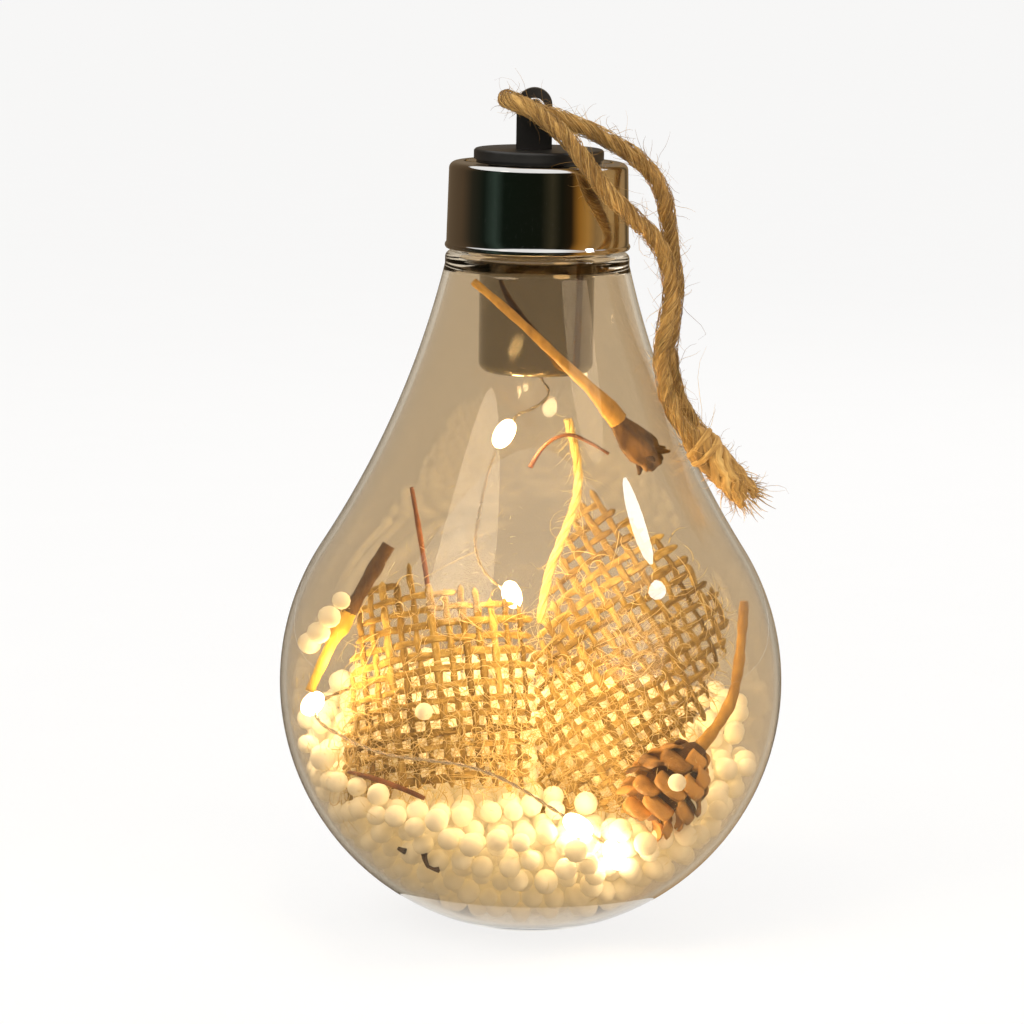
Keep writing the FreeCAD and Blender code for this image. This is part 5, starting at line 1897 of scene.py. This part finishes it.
    def lamps(self) -> None:
        """Soft area lamps outside, and small warm ones where the lit lamps' glow spreads."""
        for name, place, size, power, colour in self.SOFT:
            lamp = self.lamp(name, "AREA", place, power, colour)
            lamp.data.shape = "DISK"
            lamp.data.size = size
            lamp.rotation_mode = "QUATERNION"
            lamp.rotation_quaternion = (Vector(self.aim) - lamp.location).to_track_quat("-Z", "Y")
        for number, (place, power) in enumerate(self.GLOWS):
            glow = self.lamp(f"lamp_glow_{number}", "POINT", place, power, self.glow_colour)
            glow.data.shadow_soft_size = self.glow_radius
            glow.visible_transmission = False
            glow.visible_camera = False

    def lamp(self, name: str, kind: str, place: Place, power: float,
             colour: Colour) -> Piece:
        """A lamp that no reflection shows."""
        data = bpy.data.lights.new(name, kind)
        data.energy = power
        data.color = colour
        lamp = bpy.data.objects.new(name, data)
        lamp.location = place
        lamp.visible_glossy = False
        bpy.context.scene.collection.objects.link(lamp)
        return lamp

    def card(self, name: str, points: Array, shares: Array, material: Material) -> None:
        """A stage card that the eye and the lamps don't meet.

        Args:
            name: the card's name.
            points: (rows, columns, 3).
            shares: (columns,) the UV map's first number, from 0 to 1.
            material: its light.
        """
        rows, columns = points.shape[:2]
        index = np.arange(rows * columns).reshape(rows, columns)
        faces = np.stack([index[:-1, :-1], index[:-1, 1:], index[1:, 1:], index[1:, :-1]], axis=-1)
        faces = faces.reshape(-1, 4)
        mesh = bpy.data.meshes.new(name)
        mesh.from_pydata(points.reshape(-1, 3).tolist(), [], faces.tolist())
        uv = np.stack([shares[faces % columns], np.zeros(faces.shape)], axis=-1)
        mesh.uv_layers.new(name="round").data.foreach_set("uv", uv.astype(np.float32).ravel())
        mesh.materials.append(material)
        card = bpy.data.objects.new(name, mesh)
        bpy.context.scene.collection.objects.link(card)
        card.visible_camera = False
        card.visible_diffuse = False
        card.visible_transmission = False
        card.visible_shadow = False

    def flags(self) -> None:
        """A ring of cards for reflections: black in front, amber and tan to the right, brown to the left.

        The places of the colours are the directions, in degrees from the front, that the cap shows.
        """
        material, nodes = self.light_material("flag_light")
        place = nodes.add("SeparateXYZ", {0: nodes.placed(uv=True)}).outputs[0]
        colour = nodes.ramp(place, [((angle + 180) / 360, shade) for angle, shade in self.BANDS])
        self.shine(nodes, colour)
        for name, rows in self.FLAGS:
            for half, (first, last) in self.HALVES:
                angles = np.radians(np.linspace(first, last, 100))
                radius, height = np.array(rows).T
                x = radius[:, None] * np.sin(angles)
                y = -radius[:, None] * np.cos(angles)
                z = np.broadcast_to(height[:, None], x.shape)
                share = (np.degrees(angles) + 180) % 360 / 360
                self.card(f"{name}_{half}", np.stack([x, y, z], axis=-1), share, material)
        for highlight in self.HIGHLIGHTS:
            self.glint(*highlight)

    def light_material(self, name: str) -> tuple[Material, Nodes]:
        """An empty material and its nodes."""
        material = bpy.data.materials.new(name)
        material.use_nodes = True
        material.node_tree.nodes.clear()
        return material, Nodes(material.node_tree)

    def shine(self, nodes: Nodes, colour: object, strength: float = 1.0) -> None:
        """Make a material plain light of a colour."""
        glow = nodes.add("Emission", {"Color": colour, "Strength": strength})
        nodes.add("OutputMaterial", {"Surface": glow.outputs[0]})

    def glint(self, name: str, azimuth: float, elevation: float, size: float, tall: float,
              strength: float) -> None:
        """A round card that only shows as a highlight on the clear wall.

        Args:
            name: the card's name.
            azimuth: degrees from the front towards +X.
            elevation: degrees above the floor.
            size: half its width.
            tall: its height as a share of its width.
            strength: how bright it is.
        """
        material, nodes = self.light_material(name)
        self.shine(nodes, (1.0, 0.97, 0.93, 1), strength)
        side, rise = math.radians(azimuth), math.radians(elevation)
        way = np.array([math.sin(side) * math.cos(rise), -math.cos(side) * math.cos(rise), math.sin(rise)])
        right = np.array([math.cos(side), math.sin(side), 0.0])
        up = np.cross(right, way)
        angle = np.linspace(0, TURN, 33)
        rim = way * self.card_away + size * around(angle, right, tall * up)
        middle = np.broadcast_to(way * self.card_away, rim.shape)
        self.card(name, np.stack([middle, rim]), np.zeros(33), material)


# Middle and radius, in millimetres, of round places that the beads keep off: cone, stalk and lamps
KEPT_CLEAR = ((22.0, -19.4, 27.5, 5.6), (24.5, -18.5, 30.4, 4.6), (19.5, -20.3, 24.6, 4.6),
              (28.0, -16.4, 34.0, 1.2), (13.6, -26.2, 17.4, 2.9), (-34.2, -8.0, 36.4, 2.0),
              (7.6, -26.4, 21.9, 2.0))
CLOTH_STEP = 1.2
CLOTH_GAP = 0.75 * MM


def main() -> None:
    """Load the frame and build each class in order."""
    logging.basicConfig(level=logging.INFO, format="%(message)s")
    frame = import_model()
    Studio().build()
    finishes = Finishes(Effects())
    Twine(finishes).build()
    LampString(finishes).build()
    Vessel(finishes).build()
    Hardware(finishes, frame["nodes"]).build()
    left = Cloth(finishes, "burlap_square", "burlap_left", 20.0,
                 [(-16.5, -16.5), (15.5, -15.0), (15.5, 13.0), (2.0, 15.0), (-14.0, 17.0)], 8.0,
                 (-14.2, -14.5, 41.0), -24.0, (0.032, 0.0335), 41)
    right = Cloth(finishes, "burlap_strip", "burlap_right", 22.0,
                  [(-14.0, -23.0), (2.0, -23.5), (18.0, 5.0), (17.0, 12.0), (-7.0, 28.0), (-15.0, 2.0)],
                  32.0, (15.0, -5.0, 43.0), -22.0, (0.034, 0.052), 42)
    solids = []
    for cloth in (left, right):
        cloth.build()
        points = cloth.surface(CLOTH_STEP)
        solids.append(np.concatenate([points, np.full((len(points), 1), CLOTH_GAP)], axis=1))
    solids.append(np.array(KEPT_CLEAR) * MM)
    Beads(finishes, solids).build()
    Cone(finishes).build()
    Stems(finishes).build()


if __name__ == "__main__":
    main()
